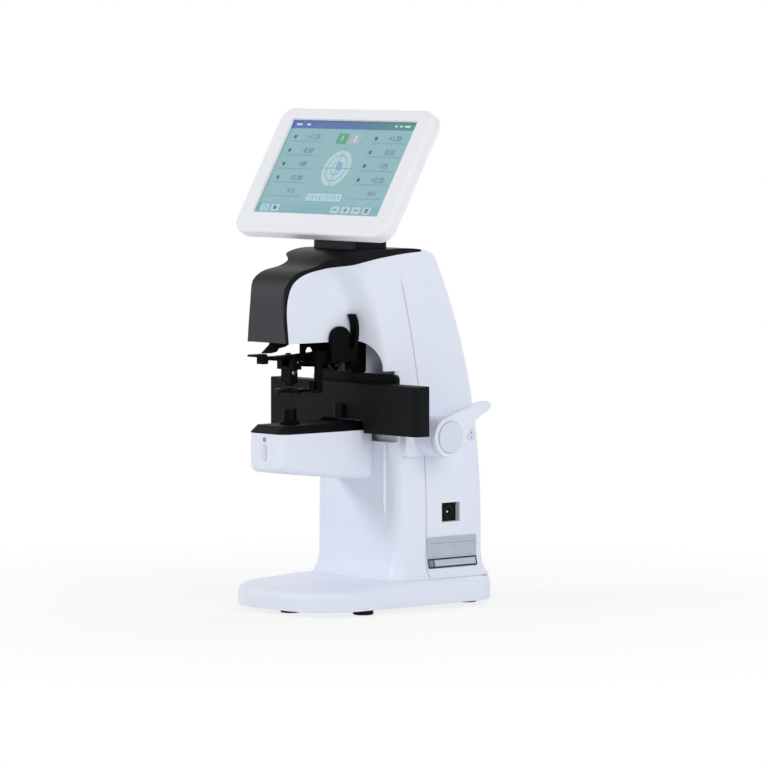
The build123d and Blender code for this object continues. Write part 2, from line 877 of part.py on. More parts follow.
# Two ground rods that carry the carriage
with BuildPart() as table_rods:
    with BuildSketch(Plane.XZ.offset(-carriage_rear)):
        with Locations((-rod_spacing / 2, rod_height), (rod_spacing / 2, rod_height)):
            Circle(rod_radius)
    extrude(amount=-(rod_rear - carriage_rear))
table_rods.part.label = "table_rods"
export_step(table_rods.part, "parts/table_rods.step")

# Aluminium guide block behind the niche, and its bushes
guide_front = niche_back + wall
with BuildPart() as table_guide:
    for side in (-1, 1):
        with Locations((side * rod_spacing / 2, guide_front, rod_height)):
            Box(18, bush_length - wall, 18, align=(Align.CENTER, Align.MIN, Align.CENTER))
        with BuildSketch(Plane.XZ.offset(-guide_front)):
            with Locations((side * rod_spacing / 2, rod_height)):
                Circle(rod_radius + bush_wall)
        extrude(amount=-bush_length, mode=Mode.SUBTRACT)
    with Locations((0, guide_front, rod_height + 9)):
        Box(rod_spacing + 18, bush_length - wall, 5, align=(Align.CENTER, Align.MIN, Align.MIN))
table_guide.part.label = "table_guide"
export_step(table_guide.part, "parts/table_guide.step")

with BuildPart() as guide_bushes:
    with BuildSketch(Plane.XZ.offset(-niche_back)):
        for side in (-1, 1):
            with Locations((side * rod_spacing / 2, rod_height)):
                Circle(rod_radius + bush_wall)
                Circle(rod_radius + running_clearance, mode=Mode.SUBTRACT)
    extrude(amount=-bush_length)
guide_bushes.part.label = "guide_bushes"
export_step(guide_bushes.part, "parts/guide_bushes.step")

pressure = radians(20)
backlash = 0.12
tooth_pitch = pi * gear_module


def rack_outline():
    """Side view of the rack, teeth down, one tooth over the gear's centre."""
    front = carriage_rear + slide_block_depth
    lean = tan(pressure)
    crest = rack_pitch_z - gear_module
    root = rack_pitch_z + 1.25 * gear_module
    narrow = tooth_pitch / 4 - gear_module * lean - backlash
    broad = tooth_pitch / 4 + 1.25 * gear_module * lean - backlash
    points = [(front, root + rack_back_height), (front, root)]
    first = -2
    count = int((rod_rear - lever_axis_y) / tooth_pitch)
    for step in range(first, count):
        y = lever_axis_y + step * tooth_pitch
        points += [(y - broad, root), (y - narrow, crest), (y + narrow, crest), (y + broad, root)]
    points += [(rod_rear, root), (rod_rear, root + rack_back_height)]
    return points


# Rack on the carriage
with BuildPart() as table_rack:
    with BuildSketch(Plane.YZ.offset(gear_left)):
        with BuildLine():
            Polyline(*rack_outline(), close=True)
        make_face()
    extrude(amount=gear_width)
table_rack.part.label = "table_rack"
export_step(table_rack.part, "parts/table_rack.step")


def half_tooth(radius):
    """Half the angle a gear tooth spans at one radius, on involute flanks."""
    base_radius = gear_pitch_radius * cos(pressure)
    at_pitch = tan(pressure) - pressure
    at_radius = 0.0
    if radius > base_radius:
        at_radius = sqrt((radius / base_radius) ** 2 - 1) - acos(base_radius / radius)
    return pi / (2 * gear_teeth) + at_pitch - at_radius - backlash / (2 * gear_pitch_radius)


def sector_outline():
    """Side view of the sector, whose teeth stand half a pitch beside the rack's."""
    radii = [
        gear_pitch_radius - 1.25 * gear_module,
        gear_pitch_radius * cos(pressure),
        gear_pitch_radius,
        gear_pitch_radius + gear_module / 2,
        gear_pitch_radius + gear_module,
    ]
    tooth_angle = 2 * pi / gear_teeth
    points = [(0, 0)]
    for index in range(sector_teeth):
        middle = pi / 2 - (sector_teeth - 1.5 - index) * tooth_angle
        rising = [(radius, middle - half_tooth(radius)) for radius in radii]
        falling = [(radius, middle + half_tooth(radius)) for radius in reversed(radii)]
        for radius, angle in rising + falling:
            points.append((radius * cos(angle), radius * sin(angle)))
    return points


# Sector gear on the lever shaft
with BuildPart() as sector_gear:
    with BuildSketch(lever_axis.offset(gear_left)):
        with BuildLine():
            Polyline(*sector_outline(), close=True)
        make_face()
        Circle(sector_hub_radius)
        Circle(shaft_radius, mode=Mode.SUBTRACT)
        with PolarLocations(15.5, 3, start_angle=10, angular_range=64, rotate=True):
            Circle(3.2, mode=Mode.SUBTRACT)
    extrude(amount=gear_width)
    with BuildSketch(lever_axis.offset(gear_left - 2)):
        Circle(sector_hub_radius)
        Circle(shaft_radius, mode=Mode.SUBTRACT)
    extrude(amount=gear_width + 4)
sector_gear.part.label = "sector_gear"
export_step(sector_gear.part, "parts/sector_gear.step")


# Shaft of the table lever, with its bracket and the bush in the boss
with BuildPart() as lever_shaft:
    with BuildSketch(lever_axis.offset(gear_left - 8.5)):
        Circle(shaft_radius)
    extrude(amount=lever_face + lever_disc_thickness - gear_left + 8.5)
lever_shaft.part.label = "lever_shaft"
export_step(lever_shaft.part, "parts/lever_shaft.step")

with BuildPart() as shaft_bracket:
    for left in (gear_left - 8.5, gear_left + gear_width + 3):
        with BuildSketch(lever_axis.offset(left)):
            with Locations(((guide_front - lever_axis_y) / 2, 0)):
                Rectangle(lever_axis_y - guide_front, 15)
            Circle(7.5)
            with Locations((guide_front - lever_axis_y, 0)):
                Rectangle(10, 20, align=(Align.MAX, Align.CENTER), mode=Mode.SUBTRACT)
            Circle(shaft_radius + running_clearance, mode=Mode.SUBTRACT)
        extrude(amount=5.5)
shaft_bracket.part.label = "shaft_bracket"
export_step(shaft_bracket.part, "parts/shaft_bracket.step")

with BuildPart() as lever_bush:
    with BuildSketch(lever_axis.offset(column_half(lever_axis_z) - wall)):
        Circle(shaft_radius + 3)
        Circle(shaft_radius + running_clearance, mode=Mode.SUBTRACT)
    extrude(amount=boss_end - column_half(lever_axis_z) + wall)
lever_bush.part.label = "lever_bush"
export_step(lever_bush.part, "parts/lever_bush.step")

# Table lever: disc and tapering arm in one moulding
arm_reach = lever_length - lever_tip
with BuildPart() as table_lever:
    with BuildSketch(lever_axis.offset(lever_face)):
        Circle(lever_disc_radius)
    extrude(amount=lever_disc_thickness)
    with BuildSketch(lever_axis.offset(lever_face)):
        Circle(lever_root)
        with Locations((arm_reach * cos(radians(lever_angle)), arm_reach * sin(radians(lever_angle)))):
            Circle(lever_tip)
        make_hull()
    extrude(amount=lever_disc_thickness)
    fillet(table_lever.faces().sort_by(Axis.X)[-1].edges(), radius=1.4)
    with BuildSketch(lever_axis.offset(lever_face)):
        Circle(shaft_radius)
    extrude(amount=lever_disc_thickness, mode=Mode.SUBTRACT)
table_lever.part.label = "table_lever"
export_step(table_lever.part, "parts/table_lever.step")

with BuildPart() as lever_cap:
    with BuildSketch(lever_axis.offset(lever_face + lever_disc_thickness)):
        Circle(lever_disc_radius - 3.9)
    extrude(amount=1.2)
    chamfer(lever_cap.faces().sort_by(Axis.X)[-1].edges(), length=0.7)
lever_cap.part.label = "lever_cap"
export_step(lever_cap.part, "parts/lever_cap.step")

# Main board over the base plate
with BuildPart() as main_board:
    with Locations((0, 45, board_z)):
        Box(88, 90, 1.6, align=(Align.CENTER, Align.CENTER, Align.MIN))
    with Locations((-18, 30, board_z + 1.6)):
        Box(16, 16, 1.4, align=(Align.CENTER, Align.CENTER, Align.MIN))
    with Locations((20, 52, board_z + 1.6)):
        Box(14, 22, 4, align=(Align.CENTER, Align.CENTER, Align.MIN))
    with Locations((-20, 64, board_z + 1.6)):
        Box(24, 6, 5.5, align=(Align.CENTER, Align.CENTER, Align.MIN))
    with Locations((26, 22, board_z + 1.6), (10, 22, board_z + 1.6)):
        Cylinder(4, 6, align=(Align.CENTER, Align.CENTER, Align.MIN))
main_board.part.label = "main_board"
export_step(main_board.part, "parts/main_board.step")

# Supply socket in its pocket
with BuildPart() as dc_jack:
    with BuildSketch(jack_plane.offset(-jack_pocket_depth - wall)):
        Circle(jack_radius)
    extrude(amount=wall + 5.5)
    with BuildSketch(jack_plane.offset(-jack_pocket_depth - wall - 9)):
        Rectangle(12, 12)
    extrude(amount=9)
    with BuildSketch(jack_plane.offset(-jack_pocket_depth + 5.5)):
        Circle(2.8)
    extrude(amount=-9, mode=Mode.SUBTRACT)
dc_jack.part.label = "dc_jack"
export_step(dc_jack.part, "parts/dc_jack.step")

with BuildPart() as dc_pin:
    with BuildSketch(jack_plane.offset(-jack_pocket_depth - 3.5)):
        Circle(1.05)
    extrude(amount=8.4)
    fillet(dc_pin.faces().sort_by(Axis.X)[-1].edges(), radius=0.4)
dc_pin.part.label = "dc_pin"
export_step(dc_pin.part, "parts/dc_pin.step")

# Bare rating plate that follows the flared foot
with BuildPart() as rating_plate:
    add(lower_column(-plate_thickness))
    with BuildSketch(Plane.YZ.offset(column_half_width - 5)):
        with Locations((plate_y, plate_z)):
            RectangleRounded(plate_length, plate_height, 2)
    extrude(amount=30, mode=Mode.INTERSECT)
    add(lower_column(0), mode=Mode.SUBTRACT)
rating_plate.part.label = "rating_plate"
export_step(rating_plate.part, "parts/rating_plate.step")

# Plug that covers a service hole high on the side
with BuildPart() as side_plug:
    with BuildSketch(side_plug_plane.offset(-wall)):
        Circle(plug_radius)
    extrude(amount=wall + 0.9)
    fillet(side_plug.faces().sort_by(Axis.X)[-1].edges(), radius=0.5)
    with BuildSketch(side_plug_plane.offset(1)):
        with Locations((0, 2.2), (0, -2.2)):
            Circle(0.8)
    extrude(amount=-1.6, mode=Mode.SUBTRACT)
side_plug.part.label = "side_plug"
export_step(side_plug.part, "parts/side_plug.step")

# Power switch low on the back
with BuildPart() as switch_frame:
    with BuildSketch(switch_plane):
        RectangleRounded(switch_width + 4, switch_height + 4, 1.5)
    extrude(amount=1.4)
    fillet(switch_frame.faces().sort_by(Axis.Y)[-1].edges(), radius=0.6)
    with BuildSketch(switch_plane):
        Rectangle(switch_width, switch_height)
    extrude(amount=-12)
    with BuildSketch(switch_plane.offset(1.4)):
        Rectangle(switch_width - 2.4, switch_height - 1.6)
    extrude(amount=-9, mode=Mode.SUBTRACT)
switch_frame.part.label = "switch_frame"
export_step(switch_frame.part, "parts/switch_frame.step")

rocker_lean = radians(rocker_throw / 2)
rocker_plane = Plane(
    origin=(switch_x, column_front + column_depth - rocker_depth, switch_z),
    x_dir=(0, -sin(rocker_lean), -cos(rocker_lean)),
    z_dir=(1, 0, 0),
)
with BuildPart() as switch_rocker:
    with BuildSketch(rocker_plane):
        with BuildLine():
            Polyline((-9.2, -2.4), (-9.2, 0.8), (0, -0.4), (9.2, 0.8), (9.2, -2.4), (3, -4), (-3, -4), close=True)
        make_face()
    extrude(amount=(switch_width - 2.4) / 2 - seat_gap, both=True)
switch_rocker.part.label = "switch_rocker"
export_step(switch_rocker.part, "parts/switch_rocker.step")

tilt = radians(screen_tilt)
screen_plane = Plane(
    origin=(0, screen_y, screen_z), x_dir=(1, 0, 0), z_dir=(0, -cos(tilt), sin(tilt))
)
screen_width = active_width + 2 * side_margin
screen_height = active_height + top_margin + bottom_margin
screen_middle = (top_margin - bottom_margin) / 2
hinge_y = screen_y - hinge_drop * sin(tilt) + hinge_offset * cos(tilt)
hinge_z = screen_z - hinge_drop * cos(tilt) - hinge_offset * sin(tilt)
hinge_axis = Plane(origin=(0, hinge_y, hinge_z), x_dir=(0, 1, 0), z_dir=(1, 0, 0))
lug_plane = Plane(origin=hinge_axis.origin, x_dir=(0, cos(tilt), -sin(tilt)), z_dir=(1, 0, 0))
neck_top = head_top - 0.8 + neck_block_height
back_face = bezel_thickness - bezel_proud + back_thickness
lug_root = back_face + bulge_thickness - hinge_offset - 1

# Neck on the black cover, rising to two ears
with BuildPart() as neck:
    with BuildSketch(Plane.XY.offset(head_top - 8)) as plan:
        with Locations((0, neck_front + neck_depth / 2)):
            RectangleRounded(2 * neck_half_width, neck_depth, 8)
    extrude(amount=neck_top - head_top + 8)
    fillet(neck.faces().sort_by(Axis.Z)[-1].edges(), radius=2.5)
    for side in (-1, 1):
        with BuildSketch(hinge_axis.offset(side * (lug_half_width + seat_gap + ear_thickness / 2))):
            with Locations((-hinge_y - 6, neck_top - hinge_z - 1)):
                Rectangle(24, 2)
            Circle(hinge_radius)
            make_hull()
            Circle(hinge_pin_radius, mode=Mode.SUBTRACT)
        extrude(amount=ear_thickness / 2, both=True)
    add(under_roof(0), mode=Mode.SUBTRACT)
neck.part.label = "neck"
export_step(neck.part, "parts/neck.step")

with BuildPart() as hinge_pin:
    with BuildSketch(hinge_axis):
        Circle(hinge_pin_radius)
    extrude(amount=lug_half_width + seat_gap + ear_thickness, both=True)
hinge_pin.part.label = "hinge_pin"
export_step(hinge_pin.part, "parts/hinge_pin.step")

# Frame round the display
with BuildPart() as bezel_frame:
    with BuildSketch(screen_plane.offset(bezel_proud - bezel_thickness)):
        with Locations((0, screen_middle)):
            RectangleRounded(screen_width, screen_height, bezel_corner)
    extrude(amount=bezel_thickness)
    front_rim = bezel_frame.faces().sort_by(lambda face: screen_plane.to_local_coords(face.center()).Z)[-1]
    fillet(front_rim.edges(), radius=2.2)
    with BuildSketch(screen_plane.offset(bezel_proud)):
        Rectangle(active_width + 3, active_height + 3)
    extrude(amount=-bezel_proud - 0.9, taper=20, mode=Mode.SUBTRACT)
    with BuildSketch(screen_plane.offset(-0.8)):
        Rectangle(active_width + 12, active_height + 12)
    extrude(amount=-10, mode=Mode.SUBTRACT)
bezel_frame.part.label = "bezel_frame"
export_step(bezel_frame.part, "parts/bezel_frame.step")

with BuildPart() as touch_glass:
    with BuildSketch(screen_plane.offset(-0.8)):
        Rectangle(active_width + 11.4, active_height + 11.4)
    extrude(amount=-1.4)
touch_glass.part.label = "touch_glass"
export_step(touch_glass.part, "parts/touch_glass.step")

with BuildPart() as display_panel:
    with BuildSketch(screen_plane.offset(-2.2)):
        Rectangle(active_width + 9, active_height + 9)
    extrude(amount=bezel_proud - bezel_thickness + 2.2)
display_panel.part.label = "display_panel"
export_step(display_panel.part, "parts/display_panel.step")

# Rear shell of the display with its raised housing and hinge lug
with BuildPart() as screen_back:
    with BuildSketch(screen_plane.offset(bezel_proud - bezel_thickness)):
        with Locations((0, screen_middle)):
            RectangleRounded(screen_width, screen_height, bezel_corner)
    extrude(amount=-back_thickness)
    back_rim = screen_back.faces().sort_by(lambda face: screen_plane.to_local_coords(face.center()).Z)[0]
    fillet(back_rim.edges(), radius=4)
    with BuildSketch(screen_plane.offset(-back_face + 1)):
        with Locations((0, -bulge_drop)):
            RectangleRounded(2 * bulge_half_width, bulge_height, 10)
    extrude(amount=-bulge_thickness - 1)
    back_rim = screen_back.faces().sort_by(lambda face: screen_plane.to_local_coords(face.center()).Z)[0]
    fillet(back_rim.edges(), radius=4)
    with BuildSketch(lug_plane):
        with Locations((lug_root, 13), (lug_root, -3)):
            Circle(1)
        Circle(hinge_radius)
        make_hull()
        Circle(hinge_pin_radius + running_clearance, mode=Mode.SUBTRACT)
    extrude(amount=lug_half_width, both=True)
    with BuildSketch(screen_plane.offset(bezel_proud - bezel_thickness)):
        with Locations((0, -bulge_drop)):
            Rectangle(2 * bulge_half_width - 10, bulge_height - 12)
    extrude(amount=-back_thickness - bulge_thickness + 3, mode=Mode.SUBTRACT)
screen_back.part.label = "screen_back"
export_step(screen_back.part, "parts/screen_back.step")

with BuildPart() as back_screws:
    with BuildSketch(screen_plane.offset(-back_face)):
        with Locations((-82, 43), (82, 43), (-82, -51), (82, -51)):
            Circle(screw_head_radius)
    extrude(amount=-0.8)
back_screws.part.label = "back_screws"
export_step(back_screws.part, "parts/back_screws.step")

# Frame of the marking unit under the head, with two cheeks
slab_front = link_pivot_y + 7.0
slab_rear = slab_front + 16.0
cheek_inner = link_half_width + 1.3
cheek_outer = cheek_inner + cheek_thickness
unit_bottom = 197.0
link_run = link_length * cos(radians(link_rest_degrees))
link_rise = link_length * sin(radians(link_rest_degrees))
lower_pivot_z = upper_pivot_z - pivot_drop
front_pivot_y = link_pivot_y - link_run
with BuildPart() as mech_frame:
    with Locations((0, (slab_front + slab_rear) / 2, unit_bottom)):
        Box(41, slab_rear - slab_front, head_bottom - unit_bottom, align=(Align.CENTER, Align.CENTER, Align.MIN))
    fillet(mech_frame.edges().filter_by(Axis.X).group_by(Axis.Z)[0], radius=2)
    for side in (-1, 1):
        with BuildSketch(Plane.YZ.offset(side * (cheek_inner + cheek_outer) / 2)):
            with BuildLine():
                Polyline(
                    (slab_front + 1, unit_bottom + 3),
                    (link_pivot_y - 3, unit_bottom + 3),
                    (link_pivot_y - 8, unit_bottom + 8),
                    (link_pivot_y - 8, head_bottom),
                    (slab_front + 1, head_bottom),
                    close=True,
                )
            make_face()
            with Locations((link_pivot_y, upper_pivot_z), (link_pivot_y, lower_pivot_z)):
                Circle(link_pin_radius, mode=Mode.SUBTRACT)
        extrude(amount=cheek_thickness / 2, both=True)
    with Locations((0, slab_front + 1, head_bottom - 3)):
        Box(2 * cheek_outer, 16, 3, align=(Align.CENTER, Align.MAX, Align.MIN))
mech_frame.part.label = "mech_frame"
export_step(mech_frame.part, "parts/mech_frame.step")

with BuildPart() as link_pins:
    with BuildSketch(Plane.YZ):
        with Locations((link_pivot_y, upper_pivot_z), (link_pivot_y, lower_pivot_z)):
            Circle(link_pin_radius)
    extrude(amount=cheek_outer, both=True)
link_pins.part.label = "link_pins"
export_step(link_pins.part, "parts/link_pins.step")

# Marking lever: upper link that runs on to the thumb tab
block_rear = lens_y - 26.5
block_front = block_rear - 5.7
with BuildPart() as marking_lever:
    with BuildSketch(Plane.YZ):
        with Locations((link_pivot_y, upper_pivot_z), (front_pivot_y, upper_pivot_z + link_rise)):
            Circle(link_radius)
        make_hull()
    extrude(amount=link_half_width, both=True)
    with BuildSketch(Plane.YZ):
        with BuildLine():
            Polyline(
                (front_pivot_y, upper_pivot_z + link_rise - link_radius),
                (front_pivot_y, upper_pivot_z + link_rise + link_radius),
                (lens_y - 8, upper_pivot_z + link_rise + 2),
                (block_rear - 1, tab_height + 1.3),
                (block_front, tab_height + 1.3),
                (block_front, tab_height - 7),
                (block_rear, tab_height - 7),
                (block_rear, tab_height - 3),
                (lens_y - 9, upper_pivot_z + link_rise - 3.4),
                close=True,
            )
        make_face()
    extrude(amount=link_half_width, both=True)
    with Locations((0, block_front + 1, tab_height - 0.7)):
        Box(2 * tab_half_width, block_front + 1 - lens_y + tab_reach, 1.8, align=(Align.CENTER, Align.MAX, Align.MIN))
    with BuildSketch(Plane.YZ):
        with Locations((link_pivot_y, upper_pivot_z), (front_pivot_y, upper_pivot_z + link_rise)):
            Circle(link_pin_radius + running_clearance)
    extrude(amount=link_half_width + 1, both=True, mode=Mode.SUBTRACT)
marking_lever.part.label = "marking_lever"
export_step(marking_lever.part, "parts/marking_lever.step")

with BuildPart() as lower_link:
    with BuildSketch(Plane.YZ):
        with Locations((link_pivot_y, lower_pivot_z), (front_pivot_y, lower_pivot_z + link_rise)):
            Circle(link_radius)
        make_hull()
        with Locations((link_pivot_y, lower_pivot_z), (front_pivot_y, lower_pivot_z + link_rise)):
            Circle(link_pin_radius + running_clearance, mode=Mode.SUBTRACT)
    extrude(amount=link_half_width, both=True)
lower_link.part.label = "lower_link"
export_step(lower_link.part, "parts/lower_link.step")

# Pen holder, carried level by both links
plate_inner = link_half_width + seat_gap
plate_outer = plate_inner + 3
with BuildPart() as pen_holder:
    with Locations((0, lens_y, pen_bar_bottom)):
        Box(42, 9, pen_bar_top - pen_bar_bottom, align=(Align.CENTER, Align.CENTER, Align.MIN))
    for side in (-1, 1):
        with Locations((side * (21 + plate_inner) / 2, lens_y, pen_bar_top - 1)):
            Box(21 - plate_inner, 9, 5.3, align=(Align.CENTER, Align.CENTER, Align.MIN))
        with BuildSketch(Plane.YZ.offset(side * (plate_inner + plate_outer) / 2)):
            with BuildLine():
                Polyline(
                    (lens_y - 0.5, pen_bar_bottom + 1),
                    (lens_y - 0.5, upper_pivot_z + link_rise + 3.5),
                    (lens_y + 7.5, upper_pivot_z + link_rise + 3.5),
                    (lens_y + 7.5, lower_pivot_z + 1),
                    (lens_y + 4, pen_bar_bottom + 1),
                    close=True,
                )
            make_face()
        extrude(amount=1.5, both=True)
    with Locations((0, lens_y, pen_bar_bottom - 11.5)):
        Box(11, 8.4, 12, align=(Align.CENTER, Align.CENTER, Align.MIN))
    with Locations((-pen_spacing, lens_y, 180), (0, lens_y, 180), (pen_spacing, lens_y, 180)):
        Cylinder(pen_radius, 60, align=(Align.CENTER, Align.CENTER, Align.MIN), mode=Mode.SUBTRACT)
    with BuildSketch(Plane.YZ):
        with Locations(
            (front_pivot_y, upper_pivot_z + link_rise),
            (front_pivot_y, lower_pivot_z + link_rise),
        ):
            Circle(link_pin_radius)
    extrude(amount=plate_outer, both=True, mode=Mode.SUBTRACT)
pen_holder.part.label = "pen_holder"
export_step(pen_holder.part, "parts/pen_holder.step")

with BuildPart() as holder_pins:
    with BuildSketch(Plane.YZ):
        with Locations(
            (front_pivot_y, upper_pivot_z + link_rise),
            (front_pivot_y, lower_pivot_z + link_rise),
        ):
            Circle(link_pin_radius)
    extrude(amount=plate_outer, both=True)
holder_pins.part.label = "holder_pins"
export_step(holder_pins.part, "parts/holder_pins.step")

with BuildPart() as pens:
    for place, top in ((-pen_spacing, 214), (0, pen_bar_top), (pen_spacing, 214)):
        with Locations((place, lens_y, pen_tip_z + 4)):
            Cylinder(pen_radius, top - pen_tip_z - 4, align=(Align.CENTER, Align.CENTER, Align.MIN))
        with Locations((place, lens_y, pen_tip_z)):
            Cone(0.6, pen_radius, 4, align=(Align.CENTER, Align.CENTER, Align.MIN))
pens.part.label = "pens"
export_step(pens.part, "parts/pens.step")

with BuildPart() as holder_screws:
    with BuildSketch(Plane.YZ.offset(5.5)):
        with Locations((lens_y, pen_bar_bottom - 2.5)):
            Circle(2.2)
    extrude(amount=1)
    with BuildSketch(Plane.XZ.offset(-lens_y + 4.5)):
        with Locations((-13, pen_bar_top), (13, pen_bar_top)):
            Circle(2)
    extrude(amount=1)
holder_screws.part.label = "holder_screws"
export_step(holder_screws.part, "parts/holder_screws.step")

# Bent stop that keeps the marking lever from rising
stop_tip = tab_height + 1.3 + seat_gap
with BuildPart() as lever_stop:
    with BuildSketch(Plane.YZ):
        with BuildLine():
            Polyline(
                (lens_y - 2, head_bottom),
                (lens_y - 2, head_bottom - 1.8),
                (lens_y - 11, head_bottom - 1.8),
                (lens_y - 25, stop_tip + 1.1),
                (block_front + 1, stop_tip),
                (block_front + 1, stop_tip + 1.8),
                (lens_y - 25.6, stop_tip + 3),
                (lens_y - 12.5, head_bottom),
                close=True,
            )
        make_face()
    extrude(amount=3, both=True)
lever_stop.part.label = "lever_stop"
export_step(lever_stop.part, "parts/lever_stop.step")

# Guide rod of the lens presser
rod_y = presser_dome_y + 12
with BuildPart() as presser_rod:
    with Locations((presser_rod_x, rod_y, head_bottom)):
        Cylinder(presser_rod_radius, 25.5, align=(Align.CENTER, Align.CENTER, Align.MAX))
presser_rod.part.label = "presser_rod"
export_step(presser_rod.part, "parts/presser_rod.step")

# Presser arm: slider, side plate with its dome and fin, and the ring that holds the lens
plate_left = head_half_width + slide_gap
plate_right = plate_left + presser_plate_thickness
with BuildPart() as presser_arm:
    with BuildSketch(Plane.YZ.offset(plate_left)):
        with Locations((presser_dome_y, presser_dome_z)):
            Circle(presser_dome_radius)
        with Locations((presser_dome_y, (presser_block_bottom + presser_dome_z) / 2)):
            Rectangle(2 * presser_dome_radius, presser_dome_z - presser_block_bottom)
        with Locations((presser_dome_y + 13, (presser_block_bottom + presser_block_top) / 2)):
            Rectangle(10, presser_block_top - presser_block_bottom)
    extrude(amount=presser_plate_thickness)
    fillet(presser_arm.faces().sort_by(Axis.X)[-1].edges(), radius=1)
    with BuildSketch(Plane.XY.offset(presser_block_bottom)):
        with Locations(((11.5 + plate_left + 1) / 2, rod_y)):
            Rectangle(plate_left + 1 - 11.5, 12)
    extrude(amount=presser_block_top - presser_block_bottom)
    with Locations((21.2, (rod_y - 6 + lens_y + 7) / 2, 215)):
        Box(6.4, rod_y - 6 - lens_y - 7 + 2, 10)
    with Locations((22.2, lens_y + 10, (220 + presser_ring_bottom) / 2)):
        Box(4.4, 6, 220 - presser_ring_bottom)
    with BuildSketch(Plane.XY.offset(presser_ring_bottom)):
        with Locations((12.2, lens_y + 11.5)):
            Rectangle(24.4, 5)
        with Locations((0, lens_y)):
            Circle(presser_ring_outer)
            Circle(presser_ring_inner, mode=Mode.SUBTRACT)
    extrude(amount=presser_ring_thickness)
    with BuildSketch(Plane.YZ.offset(plate_left)):
        with BuildLine():
            ThreePointArc((rod_y - 2, presser_block_top - 2), (rod_y + 3.4, 233), (rod_y - 4, fin_top))
            Line((rod_y - 4, fin_top), (rod_y - 4 - fin_thickness * 0.7, fin_top - 1.6))
            ThreePointArc(
                (rod_y - 4 - fin_thickness * 0.7, fin_top - 1.6),
                (rod_y + 3.4 - fin_thickness, 232),
                (rod_y - 2 - fin_thickness, presser_block_top - 2),
            )
            Line((rod_y - 2 - fin_thickness, presser_block_top - 2), (rod_y - 2, presser_block_top - 2))
        make_face()
    extrude(amount=fin_width)
    with Locations((presser_rod_x, rod_y, 190)):
        Cylinder(
            presser_rod_radius + running_clearance,
            60,
            align=(Align.CENTER, Align.CENTER, Align.MIN),
            mode=Mode.SUBTRACT,
        )
presser_arm.part.label = "presser_arm"
export_step(presser_arm.part, "parts/presser_arm.step")

with BuildPart() as presser_pins:
    with BuildSketch(Plane.XY.offset(presser_ring_bottom)):
        with Locations((0, lens_y)):
            with PolarLocations((presser_ring_inner + presser_ring_outer) / 2, 3, start_angle=90):
                Circle(presser_pin_radius)
    extrude(amount=-presser_pin_length)
    fillet(presser_pins.edges().group_by(Axis.Z)[0], radius=0.7)
presser_pins.part.label = "presser_pins"
export_step(presser_pins.part, "parts/presser_pins.step")
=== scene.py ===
# %% [markdown]
# # A bench lensmeter, dressed for its portrait
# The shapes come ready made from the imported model, one object for each part of the device.
# This lesson gives every part a believable finish and draws the display's page. It makes finer
# pieces for the marking unit and the table lever, and sets up camera, light and floor.

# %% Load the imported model
import json
from math import cos, pi, radians, sin

import bmesh
import bpy
from mathutils import Matrix, Vector


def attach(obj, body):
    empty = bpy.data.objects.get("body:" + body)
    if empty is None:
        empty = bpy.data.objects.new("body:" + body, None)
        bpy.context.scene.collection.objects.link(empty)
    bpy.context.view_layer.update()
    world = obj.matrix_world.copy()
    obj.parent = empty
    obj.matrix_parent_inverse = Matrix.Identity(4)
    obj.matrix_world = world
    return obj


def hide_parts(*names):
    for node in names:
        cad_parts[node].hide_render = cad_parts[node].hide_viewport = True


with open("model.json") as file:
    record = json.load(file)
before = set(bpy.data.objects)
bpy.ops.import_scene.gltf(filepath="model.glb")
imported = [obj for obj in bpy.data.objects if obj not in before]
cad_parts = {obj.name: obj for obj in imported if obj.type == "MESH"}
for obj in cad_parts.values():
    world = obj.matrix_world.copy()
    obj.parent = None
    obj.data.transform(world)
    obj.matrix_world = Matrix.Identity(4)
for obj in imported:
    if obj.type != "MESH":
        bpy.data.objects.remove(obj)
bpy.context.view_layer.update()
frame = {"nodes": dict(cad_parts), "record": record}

print("parts loaded:", len(frame["nodes"]))

# %% [markdown]
# ## The camera first
# A long lens far away keeps the device's upright edges nearly parallel, as in a catalogue picture.
# The place was worked out from the display's lit panel, taken as a common seven-inch one. It is
# given as a point that the camera looks at, a distance, and two angles. Building the camera's own
# three directions and writing them into its matrix avoids any guessing with Euler angles.

# %% Place the camera
look_at = Vector((0.053647, -0.0143, 0.18945))
distance = 4.654
turn = radians(48.4)
lift = radians(3.827)
backwards = Vector((sin(turn) * cos(lift), -cos(turn) * cos(lift), sin(lift)))
rightwards = Vector((cos(turn), sin(turn), 0.0))
upwards = backwards.cross(rightwards)

lens = bpy.data.cameras.new("portrait_lens")
lens.lens = 264.56
lens.sensor_width = 36.0
lens.clip_end = 50.0
camera = bpy.data.objects.new("portrait_camera", lens)
bpy.context.scene.collection.objects.link(camera)
placing = Matrix((rightwards, upwards, backwards)).transposed().to_4x4()
placing.translation = look_at + distance * backwards
camera.matrix_world = placing
bpy.context.scene.camera = camera
print("camera stands at", [round(value, 3) for value in placing.translation])

# %% [markdown]
# ## Two small helpers for materials
# Colours are written as hex values, as a paint chart gives them. The renderer counts in linear
# light, so one function converts them. A second function adds a node, sets it and links it in
# one call, which keeps each recipe below short.

# %% Colour and node helpers
MILLIMETRE = 0.001


def linear(code):
    """A hex colour such as 'E6EBF7' as linear red, green, blue and full alpha."""
    steps = [int(code[place : place + 2], 16) / 255 for place in (0, 2, 4)]
    return [v / 12.92 if v <= 0.04045 else ((v + 0.055) / 1.055) ** 2.4 for v in steps] + [1.0]


def add_node(tree, kind, settings=None, links=None):
    """Adds one node. settings go to its properties or its inputs, links to its inputs."""
    made = tree.nodes.new("ShaderNode" + kind)
    for name, value in (settings or {}).items():
        if isinstance(name, str) and hasattr(made, name):
            setattr(made, name, value)
        else:
            made.inputs[name].default_value = value
    for name, source in (links or {}).items():
        tree.links.new(source, made.inputs[name])
    return made


